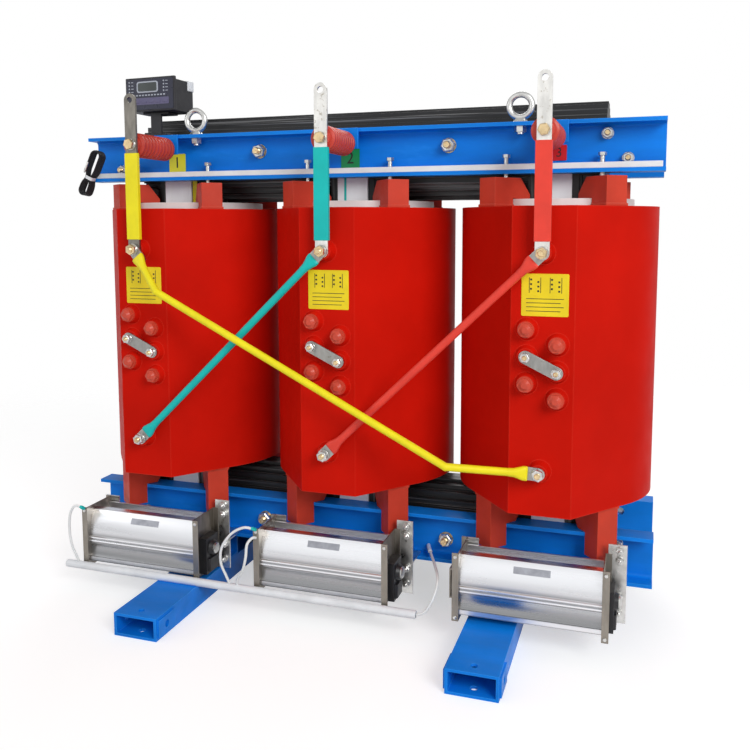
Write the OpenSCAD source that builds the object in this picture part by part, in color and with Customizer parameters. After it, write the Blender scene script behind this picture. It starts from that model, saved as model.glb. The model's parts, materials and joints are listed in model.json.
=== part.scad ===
// Dry-type cast-resin power transformer with three limbs in a row along X.
// The front, with the high-voltage terminals, faces -Y. The origin is on the floor under the middle limb.

/* [Core] */
// Distance between the limb axes
limb_pitch = 450; // [440:5:600]
// Diameter of the circle round the stepped limb
core_d = 210; // [190:2:212]
// Thickness of the whole lamination stack
core_stack = 184; // [160:2:188]
// Number of packet widths from the middle to the face
core_steps = 6; // [4:1:8]
// Width of the tie plates on the limbs
tie_w = 72; // [50:2:80]
// Thickness of the tie plates
tie_t = 6; // [4:1:8]

/* [Coils] */
// Height of the cast coils
coil_h = 616; // [500:4:800]
// Clear gap between neighbouring cast coils
coil_gap = 26; // [18:1:40]
// How far the flat front panel stands out from the round of a coil
panel_out = 50; // [40:1:70]
// Width of the flat front panel
panel_w = 124; // [110:2:140]
// Gap between the core and the low-voltage coils
lv_gap = 6; // [4:1:10]
// Radial thickness of the low-voltage coils
lv_wall = 29; // [20:1:32]
// Width of the air duct round the low-voltage coils
lv_duct = 14; // [8:1:16]
// Wall of the insulating cylinders
barrier_wall = 6; // [4:1:8]
// Gap between the insulating cylinders and the cast coils
barrier_gap = 5; // [3:1:8]
// How far the insulating cylinders stand out of the coils at each end
barrier_over = 16; // [8:1:18]

/* [Terminals and taps] */
// Distance of the upper terminals below the coil top
term_top_in = 91; // [76:1:130]
// Height of the lower terminals above the coil bottom
term_low = 93; // [60:1:110]
// Length of the cast terminal bosses
boss_l = 22; // [16:1:26]
// Diameter of the bosses at the panel
boss_d = 46; // [40:1:50]
// Diameter of the bosses at their face
boss_face_d = 34; // [32:1:40]
// Half the distance between the two tap columns
tap_half = 30; // [28:1:36]
// How far the middle left tap lies above the middle of the coil
tap_rise = 14; // [0:1:30]
// Vertical distance between the taps of a column
tap_step = 54; // [50:1:64]
// How much lower the right column of taps is
tap_drop = 29; // [20:1:36]
// Length of the tap bosses
tap_l = 13; // [10:1:18]
// Diameter of the tap caps
cap_d = 32; // [28:1:36]
// Length of the tap caps
cap_l = 17; // [12:1:22]

/* [Clamps] */
// Length of the clamping channels
clamp_l = 1340; // [1260:10:1600]
// Height of the clamping channels
clamp_h = 106; // [96:1:120]
// Width of the channel flanges
clamp_flange = 46; // [44:1:60]
// Thickness of the channel web and flanges
clamp_t = 8; // [6:0.5:10]
// Diameter of the bolt holes in the channel webs
web_hole_d = 18; // [12:1:20]
// Distance of the outer bolt holes from the channel ends
web_hole_in = 73; // [40:1:80]

/* [Skids and feet] */
// Distance from the middle to the skid axes
skid_x = 358; // [300:2:420]
// Length of the skids
skid_l = 930; // [860:10:1100]
// Width of the skid tubes
skid_w = 102; // [80:2:120]
// Height of the skid tubes
skid_h = 50; // [40:1:70]
// Wall of the skid tubes
skid_t = 6; // [4:0.5:8]
// Diameter of the fixing holes near the skid ends
skid_hole_d = 14; // [10:1:20]
// Distance of the fixing holes from the skid ends
skid_hole_in = 26; // [22:1:60]
// Height of the feet between the skids and the lower clamps
foot_h = 63; // [50:1:90]

/* [Press blocks] */
// Height of the blocks under the coils
low_block_h = 66; // [60:1:90]
// Height of the blocks on the coils
top_block_h = 60; // [50:1:80]
// Gap between the upper blocks and the upper clamps
press_gap = 8; // [6:1:14]
// Width of the blocks
block_w = 48; // [44:1:56]
// How far the outer faces of the blocks stay inside the coil edge
block_inset = 2; // [2:1:10]
// Angle of the blocks round the coils, from the front and from the rear
block_turn = 38; // [34:1:45]
// Diameter of the press screws
screw_d = 10; // [8:1:14]

/* [High-voltage connections] */
// Width of the high-voltage bars
bar_w = 28; // [26:1:36]
// Thickness of the high-voltage bars
bar_t = 6; // [5:0.5:8]
// Height of the bar tops above the upper clamps
bar_over = 76; // [50:1:100]
// Depth of the post insulator axes below the tops of the upper clamps
post_drop = 34; // [30:1:40]
// Diameter of the holes in the bars
bar_hole_d = 13; // [11:0.5:15]
// Diameter of the post insulators over their ribs
post_d = 54; // [48:1:60]
// Number of ribs on a post insulator
post_ribs = 10; // [6:1:12]
// Depth of the plates that carry the post insulators
post_plate_t = 6; // [4:1:8]
// Diameter of the delta conductors
link_d = 12; // [10:0.5:13]
// Wall of the coloured sleeves
sleeve_t = 2; // [1.5:0.5:3]

/* [Lifting eyes] */
// Distance of the lifting eyes from the clamp ends
eye_in = 289; // [265:1:330]
// Inner diameter of the lifting rings
eye_in_d = 34; // [30:1:40]
// Diameter of the ring section
eye_bar_d = 13; // [10:1:16]

/* [Controller] */
// Distance of the controller from the left ends of the clamps
ctrl_in = 182; // [150:1:230]
// Width of the controller front
ctrl_w = 138; // [110:1:160]
// Height of the controller front
ctrl_h = 79; // [70:1:110]
// Depth of the controller
ctrl_d = 84; // [60:1:100]
// Height of the stand above the clamp
stand_h = 57; // [44:1:80]
// How far the controller is turned on its stand
ctrl_turn = -3; // [-20:1:20]

/* [Fans] */
// Length of a fan over its end plates
fan_l = 312; // [280:1:360]
// Height of the fan end plates
fan_plate_h = 145; // [140:1:170]
// Height of the fan housings
fan_h = 120; // [112:1:126]
// Depth of the fans
fan_d = 95; // [92:1:110]
// Height of the fan end plates above the floor
fan_z = 52; // [51:1:64]
// How far the fans sit to the left of the limb axes
fan_shift = 15; // [0:1:20]
// Distance from the round of the coils to the fan fronts
fan_out = 73; // [66:1:100]
// Outer diameter of the fan impellers
impeller_d = 62; // [50:1:64]
// Number of impeller blades
impeller_blades = 20; // [12:2:28]
// Diameter of the conduit along the front fans
conduit_d = 18; // [12:1:22]

/* [Low-voltage connections] */
// Width of the low-voltage bars
lv_bar_w = 48; // [40:1:50]
// Thickness of the low-voltage bars
lv_bar_t = 8; // [6:1:10]
// Height of the low-voltage bar tops above the upper clamps
lv_bar_over = 40; // [20:1:50]

/* [Hidden] */
$fn = 64;

// Levels from the floor up
low_clamp_z = skid_h + foot_h;
coil_z = low_clamp_z + clamp_h + low_block_h;
coil_top = coil_z + coil_h;
top_clamp_z = coil_top + top_block_h + press_gap;
clamp_top = top_clamp_z + clamp_h;
low_yoke_z = low_clamp_z + clamp_h / 2;
top_yoke_z = top_clamp_z + clamp_h / 2;

// Radii from the core outwards; the cast coils fill the room that the limb pitch leaves
lv_in_r = core_d / 2 + lv_gap;
lv_r = lv_in_r + lv_wall;
barrier_r = lv_r + lv_duct + barrier_wall;
hv_in_r = barrier_r + barrier_gap;
coil_r = (limb_pitch - coil_gap) / 2;
panel_y = coil_r + panel_out;

// Depths from the limb axes outwards
web_y = core_stack / 2 + tie_t;
flange_y = web_y + clamp_flange;
flange_mid = web_y + clamp_t + (clamp_flange - clamp_t) / 2;
boss_y = panel_y + boss_l;
bar_y = boss_y + bar_t;

// Heights of the connections
post_z = clamp_top - post_drop;
bar_top = clamp_top + bar_over;
bar_hole_z = bar_top - bar_w / 2;
term_top_z = coil_top - term_top_in;
term_low_z = coil_z + term_low;
tap_mid_z = coil_z + coil_h / 2 + tap_rise;

// Small clearances and fits
fit = 0.3;
hole_play = 1;
cut = 1;

// Stepped packets of the core, numbered from the middle outwards
function packet_y(k) = core_stack / 2 * sin(90 * k / core_steps);
function packet_half(k) = sqrt(pow(core_d / 2, 2) - pow(packet_y(k), 2));
yoke_l = 2 * limb_pitch + 2 * packet_half(1);

function limb_x(i) = (i - 1) * limb_pitch;
limbs = [0, 1, 2];
sides = [-1, 1];

// Bolts through the webs, as [x, height over the middle of an upper web]; the lower webs have them mirrored
web_bolt_step = 41;
web_bolts = [[limb_pitch / 2, 12], [clamp_l / 2 - web_hole_in - web_bolt_step, 27],
             [clamp_l / 2 - web_hole_in, -24]];

// Point where the slanted side of a coil front meets the round of the coil
panel_corner = [panel_w / 2, -panel_y];
tangent_angle = atan2(panel_corner.y, panel_corner.x) + acos(coil_r / norm(panel_corner));
tangent_point = coil_r * [cos(tangent_angle), sin(tangent_angle)];

// Places of the six taps on a coil front, as [x, z]
tap_places = [for (side = sides) for (row = [-1, 0, 1])
    [side * tap_half, tap_mid_z + row * tap_step - (side > 0 ? tap_drop : 0)]];

// Press blocks stand round each limb, under or over the clamp flanges, with the press screws on them
block_angles = [for (turn = [90 - block_turn, 90 + block_turn]) each [turn, turn + 180]];
screw_x = flange_mid * tan(block_turn);
block_core_gap = 6;
block_in_r = core_d / 2 + block_core_gap;
block_r = coil_r - block_inset;
block_nose = 26;
block_yoke_gap = 2;
block_slope_r = (core_stack / 2 + block_yoke_gap + block_w / 2 * sin(block_turn)) / cos(block_turn);
block_hook = 48;

// Hexagon across its corners for a screw of diameter d
function hex_d(d) = 1.75 * d;

// Seats of the post insulators and the stretch of the bars that is sleeved
post_seat_d = 36;
post_seat_h = 4;
sleeve_gap = 1;
sleeve_start = 22;
sleeve_top = post_z - post_seat_d / 2 - sleeve_gap;
sleeve_low = term_top_z + sleeve_start;

// Delta links, as points [x, y, z] from upper terminal to lower terminal
lug_t = 5;
lug_l = 40;
lug_w = 26;
lug_y = -(bar_y + lug_t / 2);
low_lug_y = -(boss_y + lug_t / 2);
front_link_gap = 10;
front_link_y = lug_y - link_d - 2 * sleeve_t - front_link_gap;
first_bend = [72, -91];
last_bend = [-178, 8];
link_points = [
    [[limb_x(0), lug_y, term_top_z], [limb_x(0) + first_bend.x, front_link_y, term_top_z + first_bend.y],
     [limb_x(2) + last_bend.x, front_link_y, term_low_z + last_bend.y], [limb_x(2), low_lug_y, term_low_z]],
    [[limb_x(1), lug_y, term_top_z], [limb_x(0), low_lug_y, term_low_z]],
    [[limb_x(2), lug_y, term_top_z], [limb_x(1), low_lug_y, term_low_z]]];

// Colours of the three phases
phase_tint = ["#f7e32a", "#12b3a8", "#ee4438"];

// Shanks and rings of the lifting eyes
eye_x = clamp_l / 2 - eye_in;
eye_shank_d = 14;
eye_r = (eye_in_d + eye_bar_d) / 2;

// Controller and the trunking for its sensor leads
ctrl_x = ctrl_in - clamp_l / 2;
ctrl_back = 20;
trunk_h = 12;
trunk_d = flange_y - flange_mid - hex_d(screw_d) / 2 - hole_play;
trunk_end = 6;

// Fan places, as [limb, side], and sizes inside a fan
fan_places = [for (side = sides) for (i = limbs) [i, side]];
fan_front = coil_r + fan_out;
fan_flange = 14;
fan_sheet = 2;
fan_face_in = 10;
fan_back_in = 5;
housing_l = fan_l - 2 * fan_flange;
housing_up = (fan_plate_h - fan_h) / 2;
housing_d = fan_d - fan_face_in - fan_back_in;
impeller_u = 40;
impeller_v = 54;
shaft_d = 8;
shaft_y = fan_face_in + impeller_u;
shaft_z = housing_up + impeller_v;

// Conduit from beyond the left fan to the right of the middle fan
conduit_wall = 2;
conduit_up = 6;
conduit_tails = [39, 65];
conduit_left = limb_x(0) - fan_shift - fan_l / 2 - conduit_tails[0];
conduit_right = limb_x(1) - fan_shift + fan_l / 2 + conduit_tails[1];

// Low-voltage bars and neutral at the rear
lv_flange_gap = 8;
lv_back_y = flange_y + lv_flange_gap;
lv_mid_y = lv_r - lv_wall / 2;
lv_bar_x = -32;
lv_hole_in = 14;
lv_hole_pitch = [24, 28];
crank_up = 12;
neutral_back = 30;
neutral_y = lv_back_y + neutral_back;
neutral_up = 30;
neutral_z = top_clamp_z + neutral_up;
neutral_h = 40;
neutral_tail = 100;
neutral_holes = [20, 60];
riser_w = 30;
riser_x = 28;

// Routes of the fan leads, as points from the fans or the conduit to where they end
lead_d = 6;
lead_routes = [
    [[-614, -285.5, 194], [-616, -294, 200], [-630, -299, 203], [-643, -300, 180], [-646, -300, 140],
     [-641, -299, 104], [-632, -297, 82], [-628, -295, 67.5]],
    [[-164, -285.5, 194], [-168, -294, 199], [-186, -301, 202], [-214, -304, 186], [-238, -305, 152],
     [-242, -303, 116], [-232, -299, 86], [-226, -295, 67.5]],
    [[-164, -285.5, 176], [-168, -295, 178], [-176, -304, 166], [-178, -308, 138], [-186, -307, 108],
     [-202, -301, 84], [-207, -295, 67.5]],
    [[206.5, -294, 58], [226, -293, 68], [242, -284, 100], [243, -258, 124], [226, -214, 134],
     [204, -160, 135], [190, -125, 134.5], [184, -107.2, 134]]];

// Spare sensor cable, tied into a hank on the left end of the trunking
hank_l = 86;
hank_w = 32;
hank_t = 20;
hank_in = 34;
hank_up = 59;
hank_place = [hank_in - clamp_l / 2, -flange_y - fit, top_clamp_z + hank_up];
hank_lean = -26;

// Extrudes an outline drawn as [y, z] along X, centred on x = 0
module along_x(length) {
    rotate([90, 0, 90]) linear_extrude(length, center = true) children();
}

// Runs a cylinder from the front face y = -depth towards the viewer
module towards_front(depth, length, d1, d2) {
    translate([0, -depth, 0]) rotate([90, 0, 0]) cylinder(h = length, d1 = d1, d2 = d2);
}

// Moves a piece drawn for the front to the front or to the rear
module on_side(side) {
    if (side < 0) children();
    else mirror([0, 1, 0]) children();
}

// Outline of a bar with two round ends, from [0, 0] to [0, length]
module round_bar(length, width) {
    circle(d = width);
    translate([-width / 2, 0]) square([width, length]);
    translate([0, length]) circle(d = width);
}

// Core

module core_yoke(z) {
    color("#1b1c1e") translate([0, 0, z]) along_x(yoke_l)
        for (k = [1 : core_steps]) square([2 * packet_y(k), 2 * packet_half(k)], center = true);
}

module core_limb(i) {
    color("#1b1c1e") translate([limb_x(i), 0, 0]) for (k = [1 : core_steps], side = sides) {
        low = low_yoke_z + packet_half(k);
        depth = packet_y(k) - packet_y(k - 1);
        middle = side * (packet_y(k) + packet_y(k - 1)) / 2;
        translate([-packet_half(k), middle - depth / 2, low])
            cube([2 * packet_half(k), depth, top_yoke_z - packet_half(k) - low]);
    }
}

module limb_tie_plates() {
    margin = 14;
    color("gainsboro") for (i = limbs, side = sides) on_side(side)
        translate([limb_x(i) - tie_w / 2, -web_y, low_clamp_z + margin])
            cube([tie_w, tie_t, clamp_top - low_clamp_z - 2 * margin]);
}

// Clamps

// Channel outline with its back on y = 0 and its flanges towards -y
module channel_outline() {
    fillet = clamp_t;
    pocket = clamp_flange - clamp_t;
    mirror([1, 0]) difference() {
        square([clamp_flange, clamp_h]);
        translate([clamp_t + fillet, clamp_t]) square([pocket, clamp_h - 2 * clamp_t]);
        translate([clamp_t, clamp_t + fillet]) square([2 * fillet, clamp_h - 2 * clamp_t - 2 * fillet]);
        for (z = [clamp_t + fillet, clamp_h - clamp_t - fillet])
            translate([clamp_t + fillet, z]) circle(fillet);
    }
}

module clamp(side, z) {
    upper = z > coil_z;
    color("#1560bd") on_side(side) difference() {
        translate([0, -web_y, z]) along_x(clamp_l) channel_outline();
        for (b = web_bolts, s = sides)
            translate([s * b.x, -web_y + cut, z + clamp_h / 2 + (upper ? b.y : -b.y)]) rotate([90, 0, 0])
                cylinder(h = clamp_t + 2 * cut, d = web_hole_d);
        if (upper) {
            for (i = limbs, s = sides) translate([limb_x(i) + s * screw_x, -flange_mid, z - cut])
                cylinder(h = clamp_t + 2 * cut, d = screw_d + hole_play);
            for (s = sides) translate([s * eye_x, -flange_mid, z + clamp_h - clamp_t - cut])
                cylinder(h = clamp_t + 2 * cut, d = eye_shank_d + hole_play);
        }
    }
}

// Skids

module skid(side) {
    side_plate_l = 62;
    side_plate_t = 4;
    side_plate_in = 6;
    cross_hole_in = 37;
    cross_hole_d = skid_hole_d + 2;
    inner_w = skid_w - 2 * skid_t;
    inner_h = skid_h - 2 * skid_t;
    color("#1560bd") translate([side * skid_x, 0, 0]) difference() {
        union() {
            translate([-skid_w / 2, -skid_l / 2, 0]) cube([skid_w, skid_l, skid_h]);
            for (end = sides, s = sides)
                translate([s * (skid_w + side_plate_t) / 2 - side_plate_t / 2,
                           end * (skid_l / 2 - side_plate_l / 2 - side_plate_in) - side_plate_l / 2, skid_t])
                    cube([side_plate_t, side_plate_l, inner_h]);
        }
        translate([-inner_w / 2, -skid_l / 2 - cut, skid_t]) cube([inner_w, skid_l + 2 * cut, inner_h]);
        for (end = sides) {
            translate([0, end * (skid_l / 2 - skid_hole_in), -cut])
                cylinder(h = skid_h + 2 * cut, d = skid_hole_d);
            translate([-skid_w, end * (skid_l / 2 - cross_hole_in), skid_h / 2]) rotate([0, 90, 0])
                cylinder(h = 2 * skid_w, d = cross_hole_d);
        }
    }
}

// Short hollow posts that carry the lower clamps on the skids
module skid_feet() {
    foot_d = clamp_flange;
    wall = skid_t;
    color("#1560bd") for (s = sides, side = sides) on_side(side)
        translate([s * skid_x, -web_y - foot_d / 2, skid_h]) difference() {
            translate([-skid_w / 2, -foot_d / 2, 0]) cube([skid_w, foot_d, foot_h]);
            translate([-skid_w / 2 - cut, -foot_d / 2 + wall, wall])
                cube([skid_w + 2 * cut, foot_d - 2 * wall, foot_h - 2 * wall]);
        }
}

// Coils

module lv_coil(i) {
    color("#c9a15e") translate([limb_x(i), 0, coil_z]) linear_extrude(coil_h) difference() {
        circle(lv_r);
        circle(lv_in_r);
    }
}

module barrier_cylinders() {
    color("white") for (i = limbs) translate([limb_x(i), 0, coil_z - barrier_over])
        linear_extrude(coil_h + 2 * barrier_over) difference() {
            circle(barrier_r);
            circle(barrier_r - barrier_wall);
        }
}

// Round coil with a flat panel and two slanted sides in front
module hv_outline() {
    circle(coil_r, $fn = 128);
    polygon([[0, 0], [-tangent_point.x, tangent_point.y], [-panel_corner.x, panel_corner.y],
             panel_corner, tangent_point]);
}

module boss(length) {
    towards_front(panel_y - cut, length + cut, boss_d, boss_face_d);
}

module hv_coil(i) {
    color("#cc1d12") translate([limb_x(i), 0, 0]) {
        translate([0, 0, coil_z]) linear_extrude(coil_h) difference() {
            hv_outline();
            circle(hv_in_r, $fn = 128);
        }
        for (z = [term_top_z, term_low_z]) translate([0, 0, z]) boss(boss_l);
        for (p = tap_places) translate([p.x, 0, p[1]]) boss(tap_l);
    }
}

// Caps moulded over the unused tap nuts: round skirt, hexagon and domed end
module tap_caps() {
    skirt_h = 5;
    dome_h = 5;
    hexagon_d = cap_d - 3;
    dome_d = cap_d - 9;
    dome_end_d = dome_d / 2;
    color("#d43a2a") for (i = limbs, t = [0, 2, 3, 5])
        translate([limb_x(i) + tap_places[t].x, -panel_y - tap_l, tap_places[t][1]]) rotate([90, 0, 0]) {
            cylinder(h = skirt_h, d = cap_d);
            cylinder(h = cap_l - dome_h, d = hexagon_d, $fn = 6);
            translate([0, 0, cap_l - dome_h]) cylinder(h = dome_h, d1 = dome_d, d2 = dome_end_d);
        }
}

module tap_links() {
    link_w = 26;
    span = [2 * tap_half, -tap_drop];
    color("silver") for (i = limbs)
        translate([limb_x(i) - tap_half, -panel_y - tap_l, tap_mid_z]) rotate([90, 0, 0])
            rotate(atan2(span.y, span.x) - 90) linear_extrude(lug_t) round_bar(norm(span), link_w);
}

// Press blocks

// Block drawn along +X with a pad as its foot on z = 0. Its inner edge slopes back from the yoke,
// and a groove in its foot takes the end of the insulating cylinder.
module press_block(height, hook = 0) {
    groove_h = barrier_over + hole_play;
    pad_h = 5;
    pad_over = 2;
    difference() {
        union() {
            rotate([90, 0, 0]) linear_extrude(block_w, center = true)
                polygon([[block_in_r, 0], [block_r, 0], [block_r, height + hook],
                         [block_slope_r, height + hook], [block_slope_r, height], [block_in_r, block_nose]]);
            translate([block_in_r, -block_w / 2 - pad_over, 0])
                cube([block_r + pad_over - block_in_r, block_w + 2 * pad_over, pad_h]);
        }
        translate([0, 0, -cut]) linear_extrude(groove_h + cut) difference() {
            circle(barrier_r + hole_play);
            circle(barrier_r - barrier_wall - hole_play);
        }
    }
}

module upper_press_blocks() {
    color("#c23a2c") for (i = limbs, a = block_angles)
        translate([limb_x(i), 0, coil_top]) rotate(a) press_block(top_block_h);
}

// Lower blocks stand on the flanges and hook over their front edges
module lower_press_blocks() {
    color("#c23a2c") for (i = limbs, a = block_angles)
        translate([limb_x(i), 0, coil_z]) difference() {
            mirror([0, 0, 1]) rotate(a) press_block(low_block_h, block_hook);
            translate([-coil_r, -flange_y - fit, -low_block_h - block_hook - cut])
                cube([2 * coil_r, 2 * flange_y + 2 * fit, block_hook + cut + fit]);
        }
}

module press_screws() {
    head_h = 7;
    nut_h = 8;
    rise = 33;
    across = hex_d(screw_d);
    color("silver") for (i = limbs, side = sides, s = sides) on_side(side)
        translate([limb_x(i) + s * screw_x, -flange_mid, coil_top + top_block_h]) {
            cylinder(h = press_gap + clamp_t + rise, d = screw_d);
            translate([0, 0, press_gap + clamp_t]) cylinder(h = nut_h, d = across, $fn = 6);
            translate([0, 0, press_gap + clamp_t + rise - head_h]) cylinder(h = head_h, d = across, $fn = 6);
        }
}

// High-voltage connections

module insulator_plates() {
    plate_w = 64;
    plate_h = 46;
    color("#1560bd") for (i = limbs)
        translate([limb_x(i) - plate_w / 2, -flange_y - post_plate_t, clamp_top - plate_h])
            cube([plate_w, post_plate_t, plate_h]);
}

// Ribbed resin post, revolved round its axis
module post_insulator(length) {
    rib_depth = 5;
    core_r = post_d / 2 - rib_depth;
    pitch = length / post_ribs;
    ribs = [for (n = [0 : post_ribs - 1]) each [
        [core_r, (n + 0.1) * pitch], [post_d / 2, (n + 0.3) * pitch],
        [post_d / 2, (n + 0.7) * pitch], [core_r, (n + 0.9) * pitch]]];
    rotate_extrude() polygon(concat([[0, 0], [core_r, 0]], ribs, [[core_r, length], [0, length]]));
}

module post_insulators() {
    root_y = flange_y + post_plate_t;
    length = boss_y - root_y;
    color("#b8332a") for (i = limbs) translate([limb_x(i), -root_y, post_z]) rotate([90, 0, 0]) {
        post_insulator(length - post_seat_h);
        cylinder(h = length, d = post_seat_d);
    }
}

module hv_bar(i) {
    low_end = term_top_z;
    color("silver") translate([limb_x(i), -boss_y, 0]) rotate([90, 0, 0]) linear_extrude(bar_t) difference() {
        translate([0, low_end]) round_bar(bar_hole_z - low_end, bar_w);
        for (z = [low_end, post_z, bar_hole_z]) translate([0, z]) circle(d = bar_hole_d);
    }
}

module hv_sleeve(i, tint) {
    outer_w = bar_w + 2 * sleeve_t;
    outer_t = bar_t + 2 * sleeve_t;
    color(tint) translate([limb_x(i), -boss_y - bar_t / 2, sleeve_low]) difference() {
        translate([-outer_w / 2, -outer_t / 2, 0]) cube([outer_w, outer_t, sleeve_top - sleeve_low]);
        translate([-bar_w / 2 - fit, -bar_t / 2 - fit, -cut])
            cube([bar_w + 2 * fit, bar_t + 2 * fit, sleeve_top - sleeve_low + 2 * cut]);
    }
}

// Cylinder from point a to point b
module rod(a, b, d) {
    v = b - a;
    translate(a) rotate([0, acos(v.z / norm(v)), atan2(v.y, v.x)]) cylinder(h = norm(v), d = d);
}

// Rods along all stretches of a path, with slightly swollen bends
module bent_rod(path, d) {
    swell = 0.8;
    for (n = [1 : len(path) - 1]) rod(path[n - 1], path[n], d);
    if (len(path) > 2) for (n = [1 : len(path) - 2]) translate(path[n]) sphere(d = d + swell);
}

// Path with both its ends moved inwards along its first and last stretch
function toward(a, b, distance) = a + distance * (b - a) / norm(b - a);
function shortened(p, distance) = concat(
    [toward(p[0], p[1], distance)],
    len(p) > 2 ? [p[1], p[2]] : [],
    [toward(p[len(p) - 1], p[len(p) - 2], distance)]);

// The round conductor starts in the lugs, and its sleeve where they end
function link_path(n) = shortened(link_points[n], 0.6 * lug_l);
function sleeve_path(n) = shortened(link_points[n], 1.1 * lug_l);

// Flat eyelet on a terminal, turned towards the next point of the link
module lug(at, next) {
    turn = atan2(next.z - at.z, next.x - at.x) - 90;
    translate([at.x, at.y + lug_t / 2, at.z]) rotate([90, 0, 0]) rotate(turn) linear_extrude(lug_t)
        difference() {
            round_bar(lug_l - lug_w / 2, lug_w);
            circle(d = bar_hole_d);
        }
}

module delta_link(n) {
    p = link_points[n];
    color("silver") {
        lug(p[0], p[1]);
        lug(p[len(p) - 1], p[len(p) - 2]);
        bent_rod(link_path(n), link_d);
    }
}

module delta_sleeve(n, tint) {
    color(tint) difference() {
        bent_rod(sleeve_path(n), link_d + 2 * sleeve_t);
        bent_rod(link_path(n), link_d + 2 * fit);
    }
}

// Lifting eyes

module lifting_eyes() {
    collar_h = 8;
    collar_d = 34;
    collar_top_d = 22;
    ring_up = 2;
    nut_h = 12;
    thread_end = 4;
    below = clamp_t + nut_h + thread_end;
    color("silver") for (s = sides, side = sides) on_side(side)
        translate([s * eye_x, -flange_mid, clamp_top]) {
            translate([0, 0, collar_h + eye_r + ring_up]) rotate([90, 0, 0])
                rotate_extrude() translate([eye_r, 0]) circle(d = eye_bar_d);
            cylinder(h = collar_h, d1 = collar_d, d2 = collar_top_d);
            translate([0, 0, -below]) cylinder(h = below + collar_h, d = eye_shank_d);
            translate([0, 0, -clamp_t - nut_h]) cylinder(h = nut_h, d = hex_d(eye_shank_d), $fn = 6);
        }
}

// Temperature controller

module controller_stand() {
    stand_w = 28;
    stand_t = 8;
    edge = 1;
    plate = [70, clamp_flange - 2 * edge, 5];
    top_back = 0.7 * ctrl_back;
    color("#17181a") translate([ctrl_x, -flange_mid, clamp_top]) {
        for (p = [[0, 0], [top_back, stand_h - plate.z]])
            translate([-plate.x / 2, p[0] + (clamp_t - plate.y) / 2, p[1]]) cube(plate);
        translate([-stand_w / 2, -stand_t / 2, 0]) cube([stand_w, stand_t, stand_h]);
    }
}

module controller_box() {
    bezel_t = 8;
    rim = 5;
    seat = clamp_top + stand_h + fit;
    color("#1d1e24") translate([ctrl_x, ctrl_back - flange_mid, seat]) rotate(ctrl_turn) {
        translate([-ctrl_w / 2 + rim, -ctrl_d / 2 + bezel_t, 0])
            cube([ctrl_w - 2 * rim, ctrl_d - bezel_t, ctrl_h - rim]);
        translate([-ctrl_w / 2, -ctrl_d / 2, 0]) cube([ctrl_w, bezel_t, ctrl_h]);
    }
}

module sensor_trunking() {
    trunk_l = clamp_l - 2 * trunk_end;
    color("white") translate([-trunk_l / 2, -flange_y, top_clamp_z + clamp_t])
        cube([trunk_l, trunk_d, trunk_h]);
}

// Fans

// Puts a fan piece, drawn with its front face at y = 0 and its feet on z = 0, at its place
module at_fan(place) {
    side = place[1];
    on_side(side) translate([limb_x(place[0]) - fan_shift, -fan_front, fan_z]) children();
}

// Extruded housing: rounded upper front, two beads, hollow lower front, outlet on top and inlet at the back
module housing_outline() {
    swell_r = 95;
    swell_z = 62;
    bead = 3;
    hollow_r = 30;
    hollow_low = 11;
    hollow_high = 44;
    bore_d = impeller_d + 8;
    inlet_z = 24;
    inlet_h = 38;
    lip = 6;
    hollow_mid = (hollow_low + hollow_high) / 2;
    hollow_u = -sqrt(pow(hollow_r, 2) - pow((hollow_high - hollow_low) / 2, 2));
    hollow_a = asin((hollow_high - hollow_low) / 2 / hollow_r);
    swell_a = asin((fan_h - swell_z) / swell_r);
    front_low = [for (a = [-hollow_a : hollow_a / 6 : hollow_a + 0.01])
        [hollow_u + hollow_r * cos(a), hollow_mid + hollow_r * sin(a)]];
    front_high = [for (a = [0 : swell_a / 10 : swell_a + 0.01])
        [swell_r - swell_r * cos(a), swell_z + swell_r * sin(a)]];
    beads = [for (z = [46, 54]) each [[0, z], [-bead, z + 2], [-bead, z + 5], [0, z + 7]]];
    difference() {
        polygon(concat([[housing_d, 0], [0, 0], [-bead, 0], [-bead, hollow_low]],
                       front_low, beads, front_high, [[housing_d, fan_h]]));
        translate([impeller_u, impeller_v]) circle(d = bore_d);
        translate([impeller_u, impeller_v]) square([housing_d - lip - impeller_u, fan_h]);
        translate([impeller_u, inlet_z]) square([housing_d, inlet_h]);
    }
}

module fan_housings(side) {
    color("#c9ccd1") for (i = limbs) at_fan([i, side])
        translate([0, fan_face_in, housing_up]) along_x(housing_l) housing_outline();
}

// Folded end plate: a web with a front and a rear flange turned outwards
module end_plate(s) {
    web_x = fan_l / 2 - fan_flange;
    mirror([s < 0 ? 1 : 0, 0, 0]) translate([web_x, 0, 0]) difference() {
        cube([fan_flange, fan_d, fan_plate_h]);
        translate([fan_sheet, fan_sheet, -cut])
            cube([fan_flange, fan_d - 2 * fan_sheet, fan_plate_h + 2 * cut]);
        translate([-cut, shaft_y, shaft_z]) rotate([0, 90, 0])
            cylinder(h = fan_sheet + 2 * cut, d = shaft_d + hole_play);
    }
}

// Strap on the left end plate that carries the bearing of the impeller
module bearing_strap() {
    strap = [24, 40, 64];
    sheet = 3;
    bearing_d = 22;
    translate([-fan_l / 2 + fan_flange - fan_sheet - strap.x, shaft_y, shaft_z]) {
        difference() {
            translate([0, -strap.y / 2, -strap.z / 2]) cube(strap);
            translate([sheet, -strap.y / 2 - cut, sheet - strap.z / 2])
                cube([strap.x, strap.y + 2 * cut, strap.z - 2 * sheet]);
        }
        rotate([0, 90, 0]) cylinder(h = strap.x, d = bearing_d);
    }
}

module fan_end_plates() {
    color("#7a7266") for (place = fan_places) at_fan(place) {
        for (s = sides) end_plate(s);
        bearing_strap();
    }
}

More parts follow.
